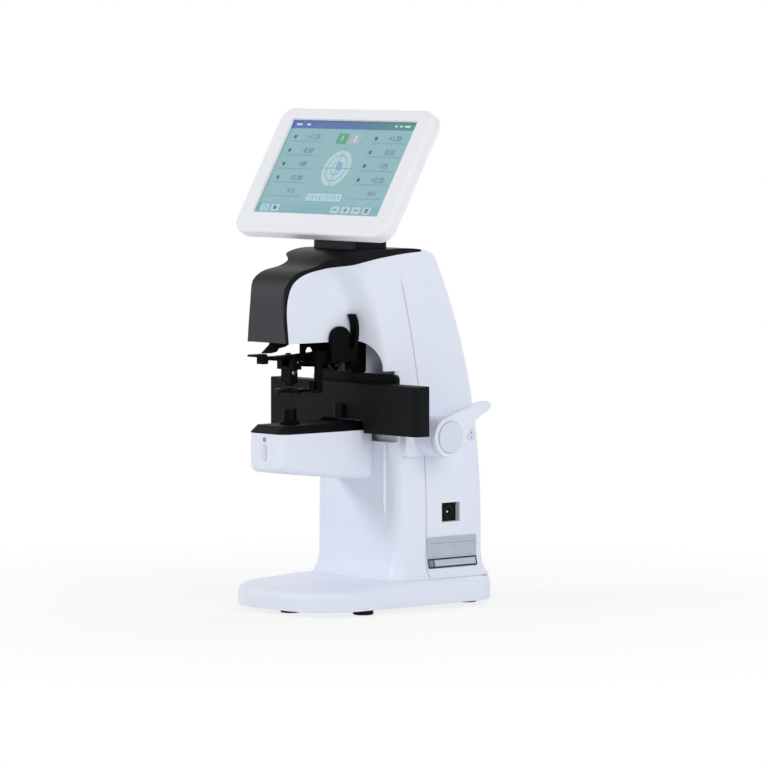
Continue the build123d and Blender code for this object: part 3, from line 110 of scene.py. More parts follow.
def start_finish(name, colour, rough, metal=0.0, specular=0.5):
    """A new material with one Principled shader; gives the material, its tree and the shader."""
    made = bpy.data.materials.new(name)
    made.use_nodes = True
    made.diffuse_color = linear(colour)
    shader = made.node_tree.nodes["Principled BSDF"]
    shader.inputs["Base Color"].default_value = linear(colour)
    shader.inputs["Roughness"].default_value = rough
    shader.inputs["Metallic"].default_value = metal
    shader.inputs["Specular IOR Level"].default_value = specular
    return made, made.node_tree, shader


print("white sample in linear light:", [round(v, 3) for v in linear("E6EBF7")])

# %% [markdown]
# ## Moulded plastic
# The housings are injection-moulded ABS. A mould for a clinic device is spark eroded, which
# leaves a fine even grain that softens every highlight. The real grain is about 0.3 mm across,
# too fine for this picture, so it is drawn at 0.8 mm. Two noises do the work: a fine one for the
# grain's bump, and a slow one, tens of millimetres wide, that varies the roughness and, by a
# hair, the colour, as flow in the mould and handling do. A Bevel node rounds the shading of
# every moulded edge by half a millimetre, so that edges catch a thin line of light.

# %% Moulded plastic recipe
def moulded_plastic(name, colour, rough, grain_mm, grain_depth, specular, tint, edge_mm=0.5):
    """ABS with spark-eroded grain: fine bump, slow change in gloss and colour, soft edges."""
    made, tree, shader = start_finish(name, colour, rough, specular=specular)
    place = add_node(tree, "TexCoord")
    soft_edge = add_node(tree, "Bevel", {"samples": 4, "Radius": edge_mm * MILLIMETRE})
    grain = add_node(
        tree,
        "TexNoise",
        {"Scale": 1 / (grain_mm * MILLIMETRE), "Detail": 2.0},
        {"Vector": place.outputs["Object"]},
    )
    bump = add_node(
        tree,
        "Bump",
        {"Strength": grain_depth, "Distance": 0.05 * MILLIMETRE},
        {"Height": grain.outputs["Fac"], "Normal": soft_edge.outputs["Normal"]},
    )
    tree.links.new(bump.outputs["Normal"], shader.inputs["Normal"])
    flow = add_node(
        tree,
        "TexNoise",
        {"Scale": 1 / (35 * MILLIMETRE), "Detail": 3.0},
        {"Vector": place.outputs["Object"]},
    )
    gloss = add_node(
        tree,
        "MapRange",
        {"From Min": 0.3, "From Max": 0.7, "To Min": rough - 0.04, "To Max": rough + 0.05},
        {"Value": flow.outputs["Fac"]},
    )
    tree.links.new(gloss.outputs["Result"], shader.inputs["Roughness"])
    tone = add_node(tree, "Mix", {"data_type": "RGBA", 6: linear(colour), 7: linear(tint)})
    amount = add_node(tree, "MapRange", {"To Max": 0.05}, {"Value": flow.outputs["Fac"]})
    tree.links.new(amount.outputs["Result"], tone.inputs["Factor"])
    tree.links.new(tone.outputs[2], shader.inputs["Base Color"])
    return made


print("recipe for moulded plastic ready")

# %% [markdown]
# The white housings have a cool satin white; the display's frame is whiter and a little glossier,
# as its mould is polished. Black parts differ in gloss: the head's cover is satin, with a broad
# highlight on its front that is painted into its colour below; the lens table is coarser and stays
# dark. A pale grey plastic serves for the lever's cap and the read button. Rubber is the dullest:
# its feet show hardly any highlight.

# %% Plastics of this device
finishes = {}
finishes["white_shell"] = moulded_plastic("white_satin_abs", "E9EEFC", 0.38, 0.8, 0.10, 0.4, "D4DCEE")
finishes["grey_plastic"] = moulded_plastic("pale_satin_abs", "DDE3F2", 0.34, 0.8, 0.08, 0.4, "C8D1E3")
finishes["black_shell"] = moulded_plastic("black_grained_abs", "090A0D", 0.5, 0.8, 0.20, 0.10, "15171B")
finishes["black_insert"] = moulded_plastic("black_grained_nylon", "08090B", 0.5, 0.7, 0.25, 0.15, "15171A")
finishes["rubber"] = moulded_plastic("moulded_rubber", "0E0F11", 0.78, 0.6, 0.35, 0.2, "1C1D20", 0.8)
display_white = moulded_plastic("white_polished_abs", "F2F4FA", 0.34, 0.8, 0.04, 0.35, "EDF0F8", 0.8)
# The cover's finish gets a painted highlight below: its front face is made a lighter smoke grey.
sheen_painted_cover = moulded_plastic("black_satin_abs", "0B0C0F", 0.4, 0.8, 0.14, 0.1, "1D1F24", 0.6)
print("plastics:", ", ".join(sorted(finishes)), "and two for single parts")

# %% [markdown]
# ## Two single parts with more to say
# The head's black cover is satin. The broad highlight on its front is painted into its colour: the
# front face is a smoke grey, while its sides and its top stay black. Which way the surface faces
# decides: the normal in the cover's own space is compared with the front direction, and the result
# mixes the black with the painted highlight.

# %% Cover with a painted highlight on its face
cover_tree = sheen_painted_cover.node_tree
cover_shader = cover_tree.nodes["Principled BSDF"]
cover_place = add_node(cover_tree, "TexCoord")
cover_faces = add_node(cover_tree, "SeparateXYZ", {}, {"Vector": cover_place.outputs["Normal"]})
painted_sheen_share = add_node(
    cover_tree,
    "MapRange",
    {"interpolation_type": "SMOOTHSTEP", "From Min": -0.6, "From Max": -0.97},
    {"Value": cover_faces.outputs["Y"]},
)
# Painted highlight: faces that look forward get smoke grey instead of black, as a lamp's reflection.
painted_sheen_tones = {"data_type": "RGBA", 6: linear("0B0C0F"), 7: linear("404247")}
painted_sheen_mix = add_node(cover_tree, "Mix", painted_sheen_tones)
cover_tree.links.new(painted_sheen_share.outputs["Result"], painted_sheen_mix.inputs["Factor"])
cover_tree.links.new(painted_sheen_mix.outputs[2], cover_shader.inputs["Base Color"])
print("cover tones mixed")

# %% [markdown]
# Front and rear housing meet in a line that runs up both sides. A moulded joint has a fine shadow
# gap, 0.5 mm wide; the shade in it is painted into the colour as a dark line, drawn a soft
# millimetre wide so that it shows. It dies out under the top. Its path bends like a parabola: the y
# of the joint follows from the height z, and the distance to it makes the line.

# %% Path of the joint
housing_white = moulded_plastic("white_satin_abs_with_joint", "E9EEFC", 0.38, 0.8, 0.10, 0.4, "D4DCEE")
joint_tree = housing_white.node_tree
joint_shader = joint_tree.nodes["Principled BSDF"]
joint_foot, joint_slope, joint_curve = 0.0307, 0.0779, -0.478

joint_place = add_node(joint_tree, "TexCoord")
joint_axes = add_node(joint_tree, "SeparateXYZ", {}, {"Vector": joint_place.outputs["Object"]})
height = joint_axes.outputs["Z"]
joint_bend = add_node(
    joint_tree, "Math", {"operation": "MULTIPLY_ADD", 1: joint_curve, 2: joint_slope}, {0: height}
)
joint_path = add_node(
    joint_tree,
    "Math",
    {"operation": "MULTIPLY_ADD", 2: joint_foot},
    {0: joint_bend.outputs[0], 1: height},
)
joint_away = add_node(
    joint_tree, "Math", {"operation": "SUBTRACT"}, {0: joint_axes.outputs["Y"], 1: joint_path.outputs[0]}
)
print("joint stands at y =", joint_foot, "m on the table top")

# %% [markdown]
# The painted shade is full at the path and gone 0.9 mm beside it. Two more factors keep the line on
# the outer side walls, where the surface faces left or right, and end it below the top.

# %% Painted shade of the joint on the housings
joint_gap = add_node(joint_tree, "Math", {"operation": "ABSOLUTE"}, {0: joint_away.outputs[0]})
joint_painted_shade = add_node(
    joint_tree,
    "MapRange",
    {"From Min": 0.2 * MILLIMETRE, "From Max": 0.9 * MILLIMETRE, "To Min": 0.42, "To Max": 0.0},
    {"Value": joint_gap.outputs[0]},
)
joint_side = add_node(joint_tree, "SeparateXYZ", {}, {"Vector": joint_place.outputs["Normal"]})
joint_sideways = add_node(
    joint_tree, "Math", {"operation": "ABSOLUTE"}, {0: joint_side.outputs["X"]}
)
joint_outer = add_node(
    joint_tree, "Math", {"operation": "GREATER_THAN", 1: 0.7}, {0: joint_sideways.outputs[0]}
)
joint_end = add_node(
    joint_tree,
    "MapRange",
    {"From Min": 0.268, "From Max": 0.278, "To Min": 1.0, "To Max": 0.0},
    {"Value": height},
)
joint_amount = joint_painted_shade.outputs["Result"]
for factor in (joint_outer.outputs[0], joint_end.outputs["Result"]):
    product = add_node(joint_tree, "Math", {"operation": "MULTIPLY"}, {0: joint_amount, 1: factor})
    joint_amount = product.outputs[0]
plain_white = joint_shader.inputs["Base Color"].links[0].from_socket
# Painted shade: the gap between the housings is darkened into their white.
joint_shade_mix = add_node(
    joint_tree,
    "Mix",
    {"data_type": "RGBA", 7: linear("4A505E")},
    {"Factor": joint_amount, 6: plain_white},
)
joint_tree.links.new(joint_shade_mix.outputs[2], joint_shader.inputs["Base Color"])
print("joint line drawn on the housings")

# %% [markdown]
# ## Turned, sawn and anodised metal
# Metal shows how it was worked. Turned rods carry fine rings round their axis, milled and drawn
# pieces carry lines along their length, and black anodising keeps those lines but turns them
# matt and dark. Stretching a noise strongly in one direction and leaving the others fine gives
# lines at a stated spacing. The real lines lie some hundredths of a millimetre apart; they are
# drawn 0.4 to 1.2 mm apart, so that they show.

# %% Worked metal recipe
def worked_metal(name, colour, rough, line_mm, along, depth, metal=1.0, specular=0.5):
    """Metal with fine lines; along is the axis in which the lines are long."""
    made, tree, shader = start_finish(name, colour, rough, metal, specular)
    place = add_node(tree, "TexCoord")
    fine = 1 / (line_mm * MILLIMETRE)
    stretch = [fine if axis != along else fine / 40 for axis in "XYZ"]
    lie = add_node(tree, "Mapping", {"Scale": stretch}, {"Vector": place.outputs["Object"]})
    lines = add_node(tree, "TexNoise", {"Scale": 1.0, "Detail": 2.0}, {"Vector": lie.outputs["Vector"]})
    soft_edge = add_node(tree, "Bevel", {"samples": 4, "Radius": 0.25 * MILLIMETRE})
    bump = add_node(
        tree,
        "Bump",
        {"Strength": depth, "Distance": 0.03 * MILLIMETRE},
        {"Height": lines.outputs["Fac"], "Normal": soft_edge.outputs["Normal"]},
    )
    tree.links.new(bump.outputs["Normal"], shader.inputs["Normal"])
    gloss = add_node(
        tree,
        "MapRange",
        {"From Min": 0.3, "From Max": 0.7, "To Min": rough - 0.05, "To Max": rough + 0.07},
        {"Value": lines.outputs["Fac"]},
    )
    tree.links.new(gloss.outputs["Result"], shader.inputs["Roughness"])
    return made


print("recipe for worked metal ready")

# %% [markdown]
# The marking unit is black anodised aluminium. Its surface is an oxide that drinks the light, so
# it is shaded as a dark non-metal and reads almost as a hole in the picture. Ground rods are
# bright, hobbed teeth and milled blocks are duller, zinc-plated sheet is soft and bluish, and
# sintered bronze is brown and matt. The presser's guide rod is blackened steel with a thin shine.

# %% Metals of this device
finishes["black_mechanism"] = worked_metal(
    "black_anodised_aluminium", "030304", 0.5, 0.5, "Y", 0.2, metal=0.0, specular=0.06
)
finishes["bright_steel"] = worked_metal("ground_steel_rod", "C9CCD1", 0.18, 0.4, "Y", 0.1)
finishes["gear_steel"] = worked_metal("hobbed_gear_steel", "9EA2A8", 0.32, 0.5, "X", 0.25)
finishes["steel_plate"] = worked_metal("zinc_plated_sheet", "B9BEC4", 0.35, 1.2, "X", 0.15)
finishes["aluminium"] = worked_metal("milled_aluminium", "BFC2C6", 0.33, 0.6, "X", 0.2)
finishes["bronze"] = worked_metal("sintered_bronze", "A9824C", 0.45, 0.5, "X", 0.2)
blackened_rod = worked_metal("blackened_steel_rod", "15161A", 0.3, 0.4, "Z", 0.1, metal=0.0, specular=0.3)
print("metals made, finishes so far:", len(finishes))

# %% [markdown]
# ## Glass
# The windows of the optics are coated clear glass: nearly colourless, with a faint violet film.
# The display's cover is a clear sheet that must let the lit page through. A Principled shader
# with full transmission does both; a slow noise in the roughness keeps them from looking ideal.

# %% Glass recipe
def clear_glass(name, colour, rough, film, shine):
    """Clear glass with a thin coating film, in nanometres."""
    made, tree, shader = start_finish(name, colour, rough)
    shader.inputs["IOR"].default_value = 1.5
    shader.inputs["Transmission Weight"].default_value = 1.0
    shader.inputs["Specular IOR Level"].default_value = shine
    shader.inputs["Thin Film Thickness"].default_value = film
    place = add_node(tree, "TexCoord")
    smear = add_node(
        tree,
        "TexNoise",
        {"Scale": 1 / (18 * MILLIMETRE), "Detail": 2.0},
        {"Vector": place.outputs["Object"]},
    )
    gloss = add_node(
        tree,
        "MapRange",
        {"From Min": 0.35, "From Max": 0.7, "To Min": rough, "To Max": rough + 0.03},
        {"Value": smear.outputs["Fac"]},
    )
    tree.links.new(gloss.outputs["Result"], shader.inputs["Roughness"])
    return made


finishes["optical_glass"] = clear_glass("coated_optical_glass", "EDF3F6", 0.02, 320.0, 0.5)
finishes["screen_glass"] = clear_glass("display_cover_glass", "EEF6F7", 0.02, 0.0, 0.06)
print("glass made")

# %% [markdown]
# ## Circuit board
# A board is glass fibre under green mask: glossy, with copper runs just showing through. A brick
# pattern with thin joints stands for the runs, 2.5 mm apart.

# %% Circuit board
board_finish, board_tree, board_shader = start_finish("green_circuit_board", "12492B", 0.35)
board_place = add_node(board_tree, "TexCoord")
board_runs = add_node(
    board_tree,
    "TexBrick",
    {
        "Scale": 1.0,
        "Brick Width": 9 * MILLIMETRE,
        "Row Height": 2.5 * MILLIMETRE,
        "Mortar Size": 0.3 * MILLIMETRE,
        "Color1": linear("12492B"),
        "Color2": linear("154F30"),
        "Mortar": linear("2C6B41"),
    },
    {"Vector": board_place.outputs["Object"]},
)
board_tree.links.new(board_runs.outputs["Color"], board_shader.inputs["Base Color"])
finishes["circuit_board"] = board_finish
print("circuit board made")

# %% [markdown]
# ## Bare plate on the side
# The plate is printed aluminium foil: a silver field with hairlines, and below it a dark frame
# round a pale field. Each printed area is a rectangle in the Y-Z plane of the side wall. One
# function says with four comparisons whether a point is inside such a rectangle, and the areas
# are laid over each other in turn.

# %% Printed foil
foil_finish, foil_tree, foil_shader = start_finish("printed_aluminium_foil", "B4BCCB", 0.34, 0.25)
foil_place = add_node(foil_tree, "TexCoord")
foil_axes = add_node(foil_tree, "SeparateXYZ", {}, {"Vector": foil_place.outputs["Object"]})
foil_soft = add_node(
    foil_tree,
    "TexNoise",
    {"Scale": 1 / (12 * MILLIMETRE), "Detail": 2.0},
    {"Vector": foil_place.outputs["Object"]},
)
foil_tone = add_node(foil_tree, "Mix", {"data_type": "RGBA", 6: linear("A9B3C6"), 7: linear("C0C7D4")})
foil_tree.links.new(foil_soft.outputs["Fac"], foil_tone.inputs["Factor"])


def printed_area(under, colour, left, right, low, high):
    """Lays a printed rectangle, in millimetres along Y and Z, over what is under it."""
    inside = None
    for axis, operation, limit in (
        ("Y", "GREATER_THAN", left),
        ("Y", "LESS_THAN", right),
        ("Z", "GREATER_THAN", low),
        ("Z", "LESS_THAN", high),
    ):
        setting = {"operation": operation, 1: limit * MILLIMETRE}
        test = add_node(foil_tree, "Math", setting, {0: foil_axes.outputs[axis]})
        if inside is not None:
            both = {0: test.outputs[0], 1: inside.outputs[0]}
            test = add_node(foil_tree, "Math", {"operation": "MULTIPLY"}, both)
        inside = test
    over = add_node(foil_tree, "Mix", {"data_type": "RGBA", 7: linear(colour)})
    foil_tree.links.new(under.outputs[2], over.inputs[6])
    foil_tree.links.new(inside.outputs[0], over.inputs["Factor"])
    return over


print("helper for printed areas ready")

# %% [markdown]
# The areas follow: two hairlines, the dark frame, the pale field in it, and a grey square at its
# end. The numbers are left, right, low and high, in millimetres.

# %% Printed areas
printed_areas = (
    ("7F899A", 36.2, 87.4, 53.4, 53.8),
    ("8D97A8", 36.2, 87.4, 42.6, 42.9),
    ("1C2230", 34.4, 89.2, 33.1, 41.2),
    ("B9C1CF", 41.8, 87.8, 34.6, 39.8),
    ("77818F", 35.8, 40.6, 34.6, 39.8),
)
for area in printed_areas:
    foil_tone = printed_area(foil_tone, *area)
foil_tree.links.new(foil_tone.outputs[2], foil_shader.inputs["Base Color"])
finishes["label_foil"] = foil_finish
print("printed areas on the plate:", len(printed_areas))

# %% [markdown]
# ## Indicator lamp
# The lamp is a clear acrylic plug, switched off. It reads as a slightly darker, glossier dot in
# the white shell. A fine bump stands for the turning marks of its mould and catches a little
# light. Such marks are about 0.2 mm apart; they are drawn 1.5 mm apart, so that they show.

# %% Lamp plug
lamp_finish, lamp_tree, lamp_shader = start_finish("clear_acrylic_plug", "8FA3B0", 0.12)
lamp_place = add_node(lamp_tree, "TexCoord")
lamp_rings = add_node(
    lamp_tree, "TexNoise", {"Scale": 1 / (1.5 * MILLIMETRE)}, {"Vector": lamp_place.outputs["Object"]}
)
lamp_bump = add_node(
    lamp_tree,
    "Bump",
    {"Strength": 0.1, "Distance": 0.05 * MILLIMETRE},
    {"Height": lamp_rings.outputs["Fac"]},
)
lamp_tree.links.new(lamp_bump.outputs["Normal"], lamp_shader.inputs["Normal"])
finishes["lamp_lens"] = lamp_finish
print("lamp made")

# %% [markdown]
# ## Light of the page
# The display is a liquid crystal panel, so its page glows evenly. A page colour is therefore an
# emission on nearly black plastic. A very slow noise shifts the colour a little between two
# tones, as the backlight of such a panel is never quite even.

# %% Glowing page colours
GLOW = 0.92


def page_colour(name, colour, second, strength=GLOW):
    """A colour that glows, drifting slowly between two tones."""
    made, tree, shader = start_finish(name, "0A0C0E", 0.4, specular=0.1)
    made.diffuse_color = linear(colour)
    shader.inputs["Emission Strength"].default_value = strength
    place = add_node(tree, "TexCoord")
    backlight = add_node(
        tree,
        "TexNoise",
        {"Scale": 1 / (60 * MILLIMETRE), "Detail": 1.0},
        {"Vector": place.outputs["Object"]},
    )
    tone = add_node(tree, "Mix", {"data_type": "RGBA", 6: linear(colour), 7: linear(second)})
    tree.links.new(backlight.outputs["Fac"], tone.inputs["Factor"])
    tree.links.new(tone.outputs[2], shader.inputs["Emission Color"])
    return made


finishes["lit_panel"] = page_colour("page_aqua", "83B5BD", "8CBCC2")
print("page ground made")

# %% [markdown]
# The header bar of the page runs from blue on the left to green on the right. A Map Range turns
# the distance along X into a factor, and a colour ramp with three stops gives the colours.

# %% Header gradient
header_finish, header_tree, header_shader = start_finish("page_header", "0A0C0E", 0.4, specular=0.1)
header_shader.inputs["Emission Strength"].default_value = GLOW
header_place = add_node(header_tree, "TexCoord")
header_axes = add_node(header_tree, "SeparateXYZ", {}, {"Vector": header_place.outputs["Object"]})
half_page = 77.1 * MILLIMETRE
header_run = add_node(
    header_tree,
    "MapRange",
    {"From Min": -half_page, "From Max": half_page},
    {"Value": header_axes.outputs["X"]},
)
header_ramp = add_node(header_tree, "ValToRGB", {}, {"Fac": header_run.outputs["Result"]})
header_ramp.color_ramp.elements[0].color = linear("0A50AC")
header_ramp.color_ramp.elements[1].color = linear("128A70")
header_middle = header_ramp.color_ramp.elements.new(0.55)
header_middle.color = linear("14609E")
header_tree.links.new(header_ramp.outputs["Color"], header_shader.inputs["Emission Color"])
print("header stops:", len(header_ramp.color_ramp.elements))

# %% [markdown]
# ## Give each part its finish
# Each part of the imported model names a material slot, and the slot picks the finish. A few single
# parts differ from the rest of their slot, as a product's parts do when they come from another
# mould: the display's shells, the head's cover with its neck, and the blackened guide rod.

# %% Assign the finishes
own_finish = {
    "bezel_frame": display_white,
    "screen_back": display_white,
    "top_cover": sheen_painted_cover,
    "neck": sheen_painted_cover,
    "presser_rod": blackened_rod,
    "front_housing": housing_white,
    "rear_housing": housing_white,
}
for row in frame["record"]["subparts"]:
    part = frame["nodes"][row["node"]]
    part.data.materials.clear()
    part.data.materials.append(own_finish.get(row["node"], finishes[row["material_slot"]]))

# %% [markdown]
# ## The page itself
# The page could be one picture, but pictures are not used here, and a single node tree for it
# would be hard to read. Instead each bar, box and figure is a thin plate in the page's plane,
# just under the glass. All plates of one colour share one mesh, so the page is only a few
# objects. The layout is a plain one for this kind of device: two columns of values, a centring
# target between them, a level bar below, and a row of round keys.
#
# First comes the page's plane: its origin is the middle of the lit area, x runs along the page,
# y up it, and z out of it. One matrix brings a mesh that was drawn flat into that plane.

# %% Page plane
tilt = radians(30.25)
page_plane = Matrix(
    (
        (1.0, 0.0, 0.0, 0.0),
        (0.0, sin(tilt), -cos(tilt), -0.0211),
        (0.0, cos(tilt), sin(tilt), 0.3671),
        (0.0, 0.0, 0.0, 1.0),
    )
)
print("page plane origin:", [round(value, 4) for value in page_plane.translation])

# %% [markdown]
# A plate starts as one square of a grid. Its corners are rounded by a vertex bevel, and an
# extrusion gives it a thickness of a tenth of a millimetre.

# %% Plates
def raise_faces(drawing, faces, rise):
    """Gives flat faces a thickness: they stay, and a raised copy with walls is added."""
    lifted = bmesh.ops.extrude_face_region(drawing, geom=faces, use_keep_orig=True)
    raised = [item for item in lifted["geom"] if isinstance(item, bmesh.types.BMVert)]
    bmesh.ops.translate(drawing, vec=(0.0, 0.0, rise), verts=raised)


def add_plate(drawing, middle, size, corner, level):
    """Adds a plate with rounded corners to a drawing; level is its bottom and its top, in mm."""
    corners = bmesh.ops.create_grid(drawing, x_segments=1, y_segments=1, size=0.5)["verts"]
    bmesh.ops.scale(drawing, vec=(size[0], size[1], 1.0), verts=corners)
    bmesh.ops.translate(drawing, vec=(middle[0], middle[1], level[0]), verts=corners)
    face = corners[0].link_faces[0]
    if corner:
        rounded = bmesh.ops.bevel(
            drawing, geom=corners, offset=corner, segments=4, profile=0.5, affect="VERTICES", material=-1
        )
        face = rounded["verts"][0].link_faces[0]
    raise_faces(drawing, [face], level[1] - level[0])


print("helper for plates ready")

# %% [markdown]
# Discs start from a filled circle. A ring is a small upright rectangle that is spun round, which
# gives four clean walls and no seam, as the spin merges its end with its start.

# %% Discs and rings
def add_disc(drawing, middle, radius, level):
    """Adds a round plate."""
    rim = bmesh.ops.create_circle(drawing, cap_ends=True, segments=40, radius=radius)["verts"]
    bmesh.ops.translate(drawing, vec=(middle[0], middle[1], level[0]), verts=rim)
    raise_faces(drawing, [rim[0].link_faces[0]], level[1] - level[0])


def add_ring(drawing, middle, radius, width, level):
    """Adds a flat ring: a small upright rectangle is spun round the middle."""
    section = bmesh.ops.create_grid(drawing, x_segments=1, y_segments=1, size=0.5)["verts"]
    rise = level[1] - level[0]
    bmesh.ops.rotate(drawing, cent=(0, 0, 0), matrix=Matrix.Rotation(pi / 2, 3, "X"), verts=section)
    bmesh.ops.scale(drawing, vec=(width, 1.0, rise), verts=section)
    bmesh.ops.translate(drawing, vec=(middle[0] + radius, middle[1], level[0] + rise / 2), verts=section)
    face = section[0].link_faces[0]
    outline = list(face.edges)
    bmesh.ops.delete(drawing, geom=[face], context="FACES_ONLY")
    bmesh.ops.spin(
        drawing,
        geom=outline,
        cent=(middle[0], middle[1], 0.0),
        axis=(0, 0, 1),
        angle=2 * pi,
        steps=56,
        use_merge=True,
        use_duplicate=False,
    )


print("helpers for discs and rings ready")

# %% [markdown]
# Figures start as a text object, because Blender's own font already has good numerals. The text
# is given a thickness, made a mesh, put in its place, and added to the drawing.

# %% Figures
CAP_HEIGHT = 1.37  # size of this font that gives numerals one unit high


def add_figures(drawing, figures, middle, height, level):
    """Adds numerals as thin solid shapes; height is that of a numeral, in mm."""
    letters = bpy.data.curves.new("figures", "FONT")
    letters.body = figures
    letters.align_x = "CENTER"
    letters.align_y = "CENTER"
    letters.size = height * CAP_HEIGHT
    letters.resolution_u = 3
    letters.extrude = (level[1] - level[0]) / 2
    holder = bpy.data.objects.new("figures", letters)
    bpy.context.scene.collection.objects.link(holder)
    seen_by = bpy.context.evaluated_depsgraph_get()
    solid = bpy.data.meshes.new_from_object(holder.evaluated_get(seen_by))
    solid.transform(Matrix.Translation((middle[0], middle[1], (level[0] + level[1]) / 2)))
    drawing.from_mesh(solid)
    bpy.data.objects.remove(holder)
    bpy.data.meshes.remove(solid)


print("helper for figures ready")

# %% [markdown]
# A finished drawing becomes a piece: double points are merged, millimetres become metres, the
# plane's matrix puts it in its place, and the normals are turned outwards. The piece then rides
# on its body and carries its finish. A Bevel modifier may soften its edges.

# %% From drawing to piece
def close_drawing(drawing, name, finish, body, plane, soft=0.0):
    """Turns a drawing in millimetres into a piece on its plane; soft rounds its edges."""
    bmesh.ops.remove_doubles(drawing, verts=drawing.verts, dist=0.0005)
    bmesh.ops.scale(drawing, vec=[MILLIMETRE] * 3, verts=drawing.verts)
    bmesh.ops.transform(drawing, matrix=plane, verts=drawing.verts)
    bmesh.ops.recalc_face_normals(drawing, faces=drawing.faces)
    mesh = bpy.data.meshes.new(name)
    drawing.to_mesh(mesh)
    drawing.free()
    mesh.materials.append(finish)
    piece = bpy.data.objects.new(name, mesh)
    bpy.context.scene.collection.objects.link(piece)
    if soft:
        rounding = piece.modifiers.new("soft_edges", "BEVEL")
        rounding.width = soft * MILLIMETRE
        rounding.segments = 2
        rounding.limit_method = "ANGLE"
    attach(piece, body)
    print(name, "faces:", len(mesh.polygons))
    return piece


print("pieces can be closed now")

# %% [markdown]
# The solid panel fills all the room up to the glass. A panel that is a little thinner stands for
# it here, so that the plates of the page find room between its front and the glass. They lie in
# three levels, each a bottom and a top in millimetres over the page's plane, which overlap by a
# hair so that nothing floats. The ground's front is at -2.6, and the glass starts at -2.2.

# %% Page ground
GROUND = (-6.0, -2.6)
BAR = (-2.62, -2.52)
TILE = (-2.53, -2.44)
MARK = (-2.45, -2.36)
PAGE_WIDE = 158.0
ground_sheet = bmesh.new()
add_plate(ground_sheet, (0.0, 0.0), (163.0, 95.2), 0.0, GROUND)
panel = close_drawing(
    ground_sheet, "page_ground", finishes["lit_panel"], "display", page_plane
)
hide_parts("display_panel")

# %% [markdown]
# The header and the footer close the page above and below. Between them two columns of four
# rows hold the values, each row on a thin line. These lines and the footer are a greyer blue
# than the ground.

# %% Bars and lines
header = bmesh.new()
add_plate(header, (0.0, 41.1), (PAGE_WIDE, 8.2), 0.0, BAR)
close_drawing(header, "page_header_bar", header_finish, "display", page_plane)

footer_blue = page_colour("page_footer", "79AABE", "7FB0C2")
footer = bmesh.new()
add_plate(footer, (0.0, -39.8), (PAGE_WIDE, 11.2), 0.0, BAR)
close_drawing(footer, "page_footer_bar", footer_blue, "display", page_plane)

line_blue = page_colour("page_lines", "6C9DBE", "74A4C2")
lines = bmesh.new()
row_heights = (29.5, 16.5, 3.5, -9.5)
for side in (-1, 1):
    for height in row_heights:
        add_plate(lines, (side * 51.0, height - 5.0), (42.0, 1.3), 0.0, BAR)
    add_plate(lines, (side * 51.0, -27.5), (42.0, 1.3), 0.0, BAR)
add_plate(lines, (0.0, -27.6), (46.0, 9.0), 1.2, BAR)
close_drawing(lines, "page_lines", line_blue, "display", page_plane)

# %% [markdown]
# In the middle a target shows how well a lens is centred: rings, a cross, and a disc that would
# move with the lens. Two tiles above it choose the side of the spectacles, and the chosen one is
# green. A level under it shows a prism value as a row of bars.

# %% Target and tiles
pale_blue = page_colour("page_pale_fields", "B4D3DC", "BAD8DE")
fields = bmesh.new()
add_disc(fields, (0.0, 0.0), 18.0, BAR)
add_plate(fields, (0.0, -27.6), (44.4, 7.4), 0.8, TILE)
for place in (-68.5, -55.5, 20.5, 33.5, 46.5, 59.5):
    add_plate(fields, (place, -38.6), (10.4, 6.6), 1.4, TILE)
close_drawing(fields, "page_pale_fields", pale_blue, "display", page_plane)

ink_blue = page_colour("page_target_ink", "3E7C98", "44829C")
target = bmesh.new()
for radius in (6.0, 12.0, 17.4):
    add_ring(target, (0.0, 0.0), radius, 0.5, TILE)
add_plate(target, (0.0, 0.0), (38.0, 0.45), 0.0, TILE)
add_plate(target, (0.0, 0.0), (0.45, 38.0), 0.0, TILE)
for step in range(-4, 5):
    add_plate(target, (step * 4.6, -27.6), (0.6, 4.6 if step % 2 else 2.6), 0.0, MARK)
close_drawing(target, "page_target", ink_blue, "display", page_plane)

spot_blue = page_colour("page_spot", "6DA9CF", "72AED2")
spot = bmesh.new()
add_disc(spot, (2.6, 1.8), 4.0, MARK)
add_ring(spot, (-68.5, -38.6), 1.9, 0.8, MARK)
close_drawing(spot, "page_spot", spot_blue, "display", page_plane)

tile_green = page_colour("page_green_tile", "2F9A72", "37A27A")
chosen = bmesh.new()
add_plate(chosen, (-8.2, 28.0), (13.0, 10.0), 1.6, BAR)
close_drawing(chosen, "page_green_tile", tile_green, "display", page_plane)

tile_grey = page_colour("page_grey_tile", "A9B7C1", "AEBCC5")
other = bmesh.new()
add_plate(other, (8.2, 28.0), (13.0, 10.0), 1.6, BAR)
close_drawing(other, "page_grey_tile", tile_grey, "display", page_plane)

# %% [markdown]
# Figures are text made solid. Their height of five millimetres suits a page that is read from
# half a metre away. Only numbers are used, with signs, as they would stand for lens powers.

# %% Figures and small marks
dark_ink = page_colour("page_dark_ink", "12384A", "173E50", 0.9)
values = bmesh.new()
for side, column in ((-1, ("+1.25", "-0.50", "180", "+2.00")), (1, ("+1.50", "-0.25", "175", "+2.25"))):
    for height, figures in zip(row_heights, column):
        add_figures(values, figures, (side * 51.0 + 6.0, height - 0.6), 5.0, BAR)
        add_plate(values, (side * 51.0 - 17.5, height - 0.6), (3.4, 3.4), 0.8, BAR)
    add_figures(values, "63.5" if side > 0 else "31.5", (side * 51.0 + 6.0, -22.6), 4.2, BAR)
for place in (20.5, 33.5, 46.5, 59.5):
    add_plate(values, (place, -38.6), (4.4, 0.9), 0.0, MARK)
add_plate(values, (33.5, -38.6), (0.9, 4.4), 0.0, MARK)
add_plate(values, (59.5, -37.3), (4.4, 0.9), 0.0, MARK)
add_plate(values, (59.5, -39.9), (4.4, 0.9), 0.0, MARK)
add_plate(values, (-55.5, -38.6), (3.4, 3.4), 0.8, MARK)
close_drawing(values, "page_figures", dark_ink, "display", page_plane)

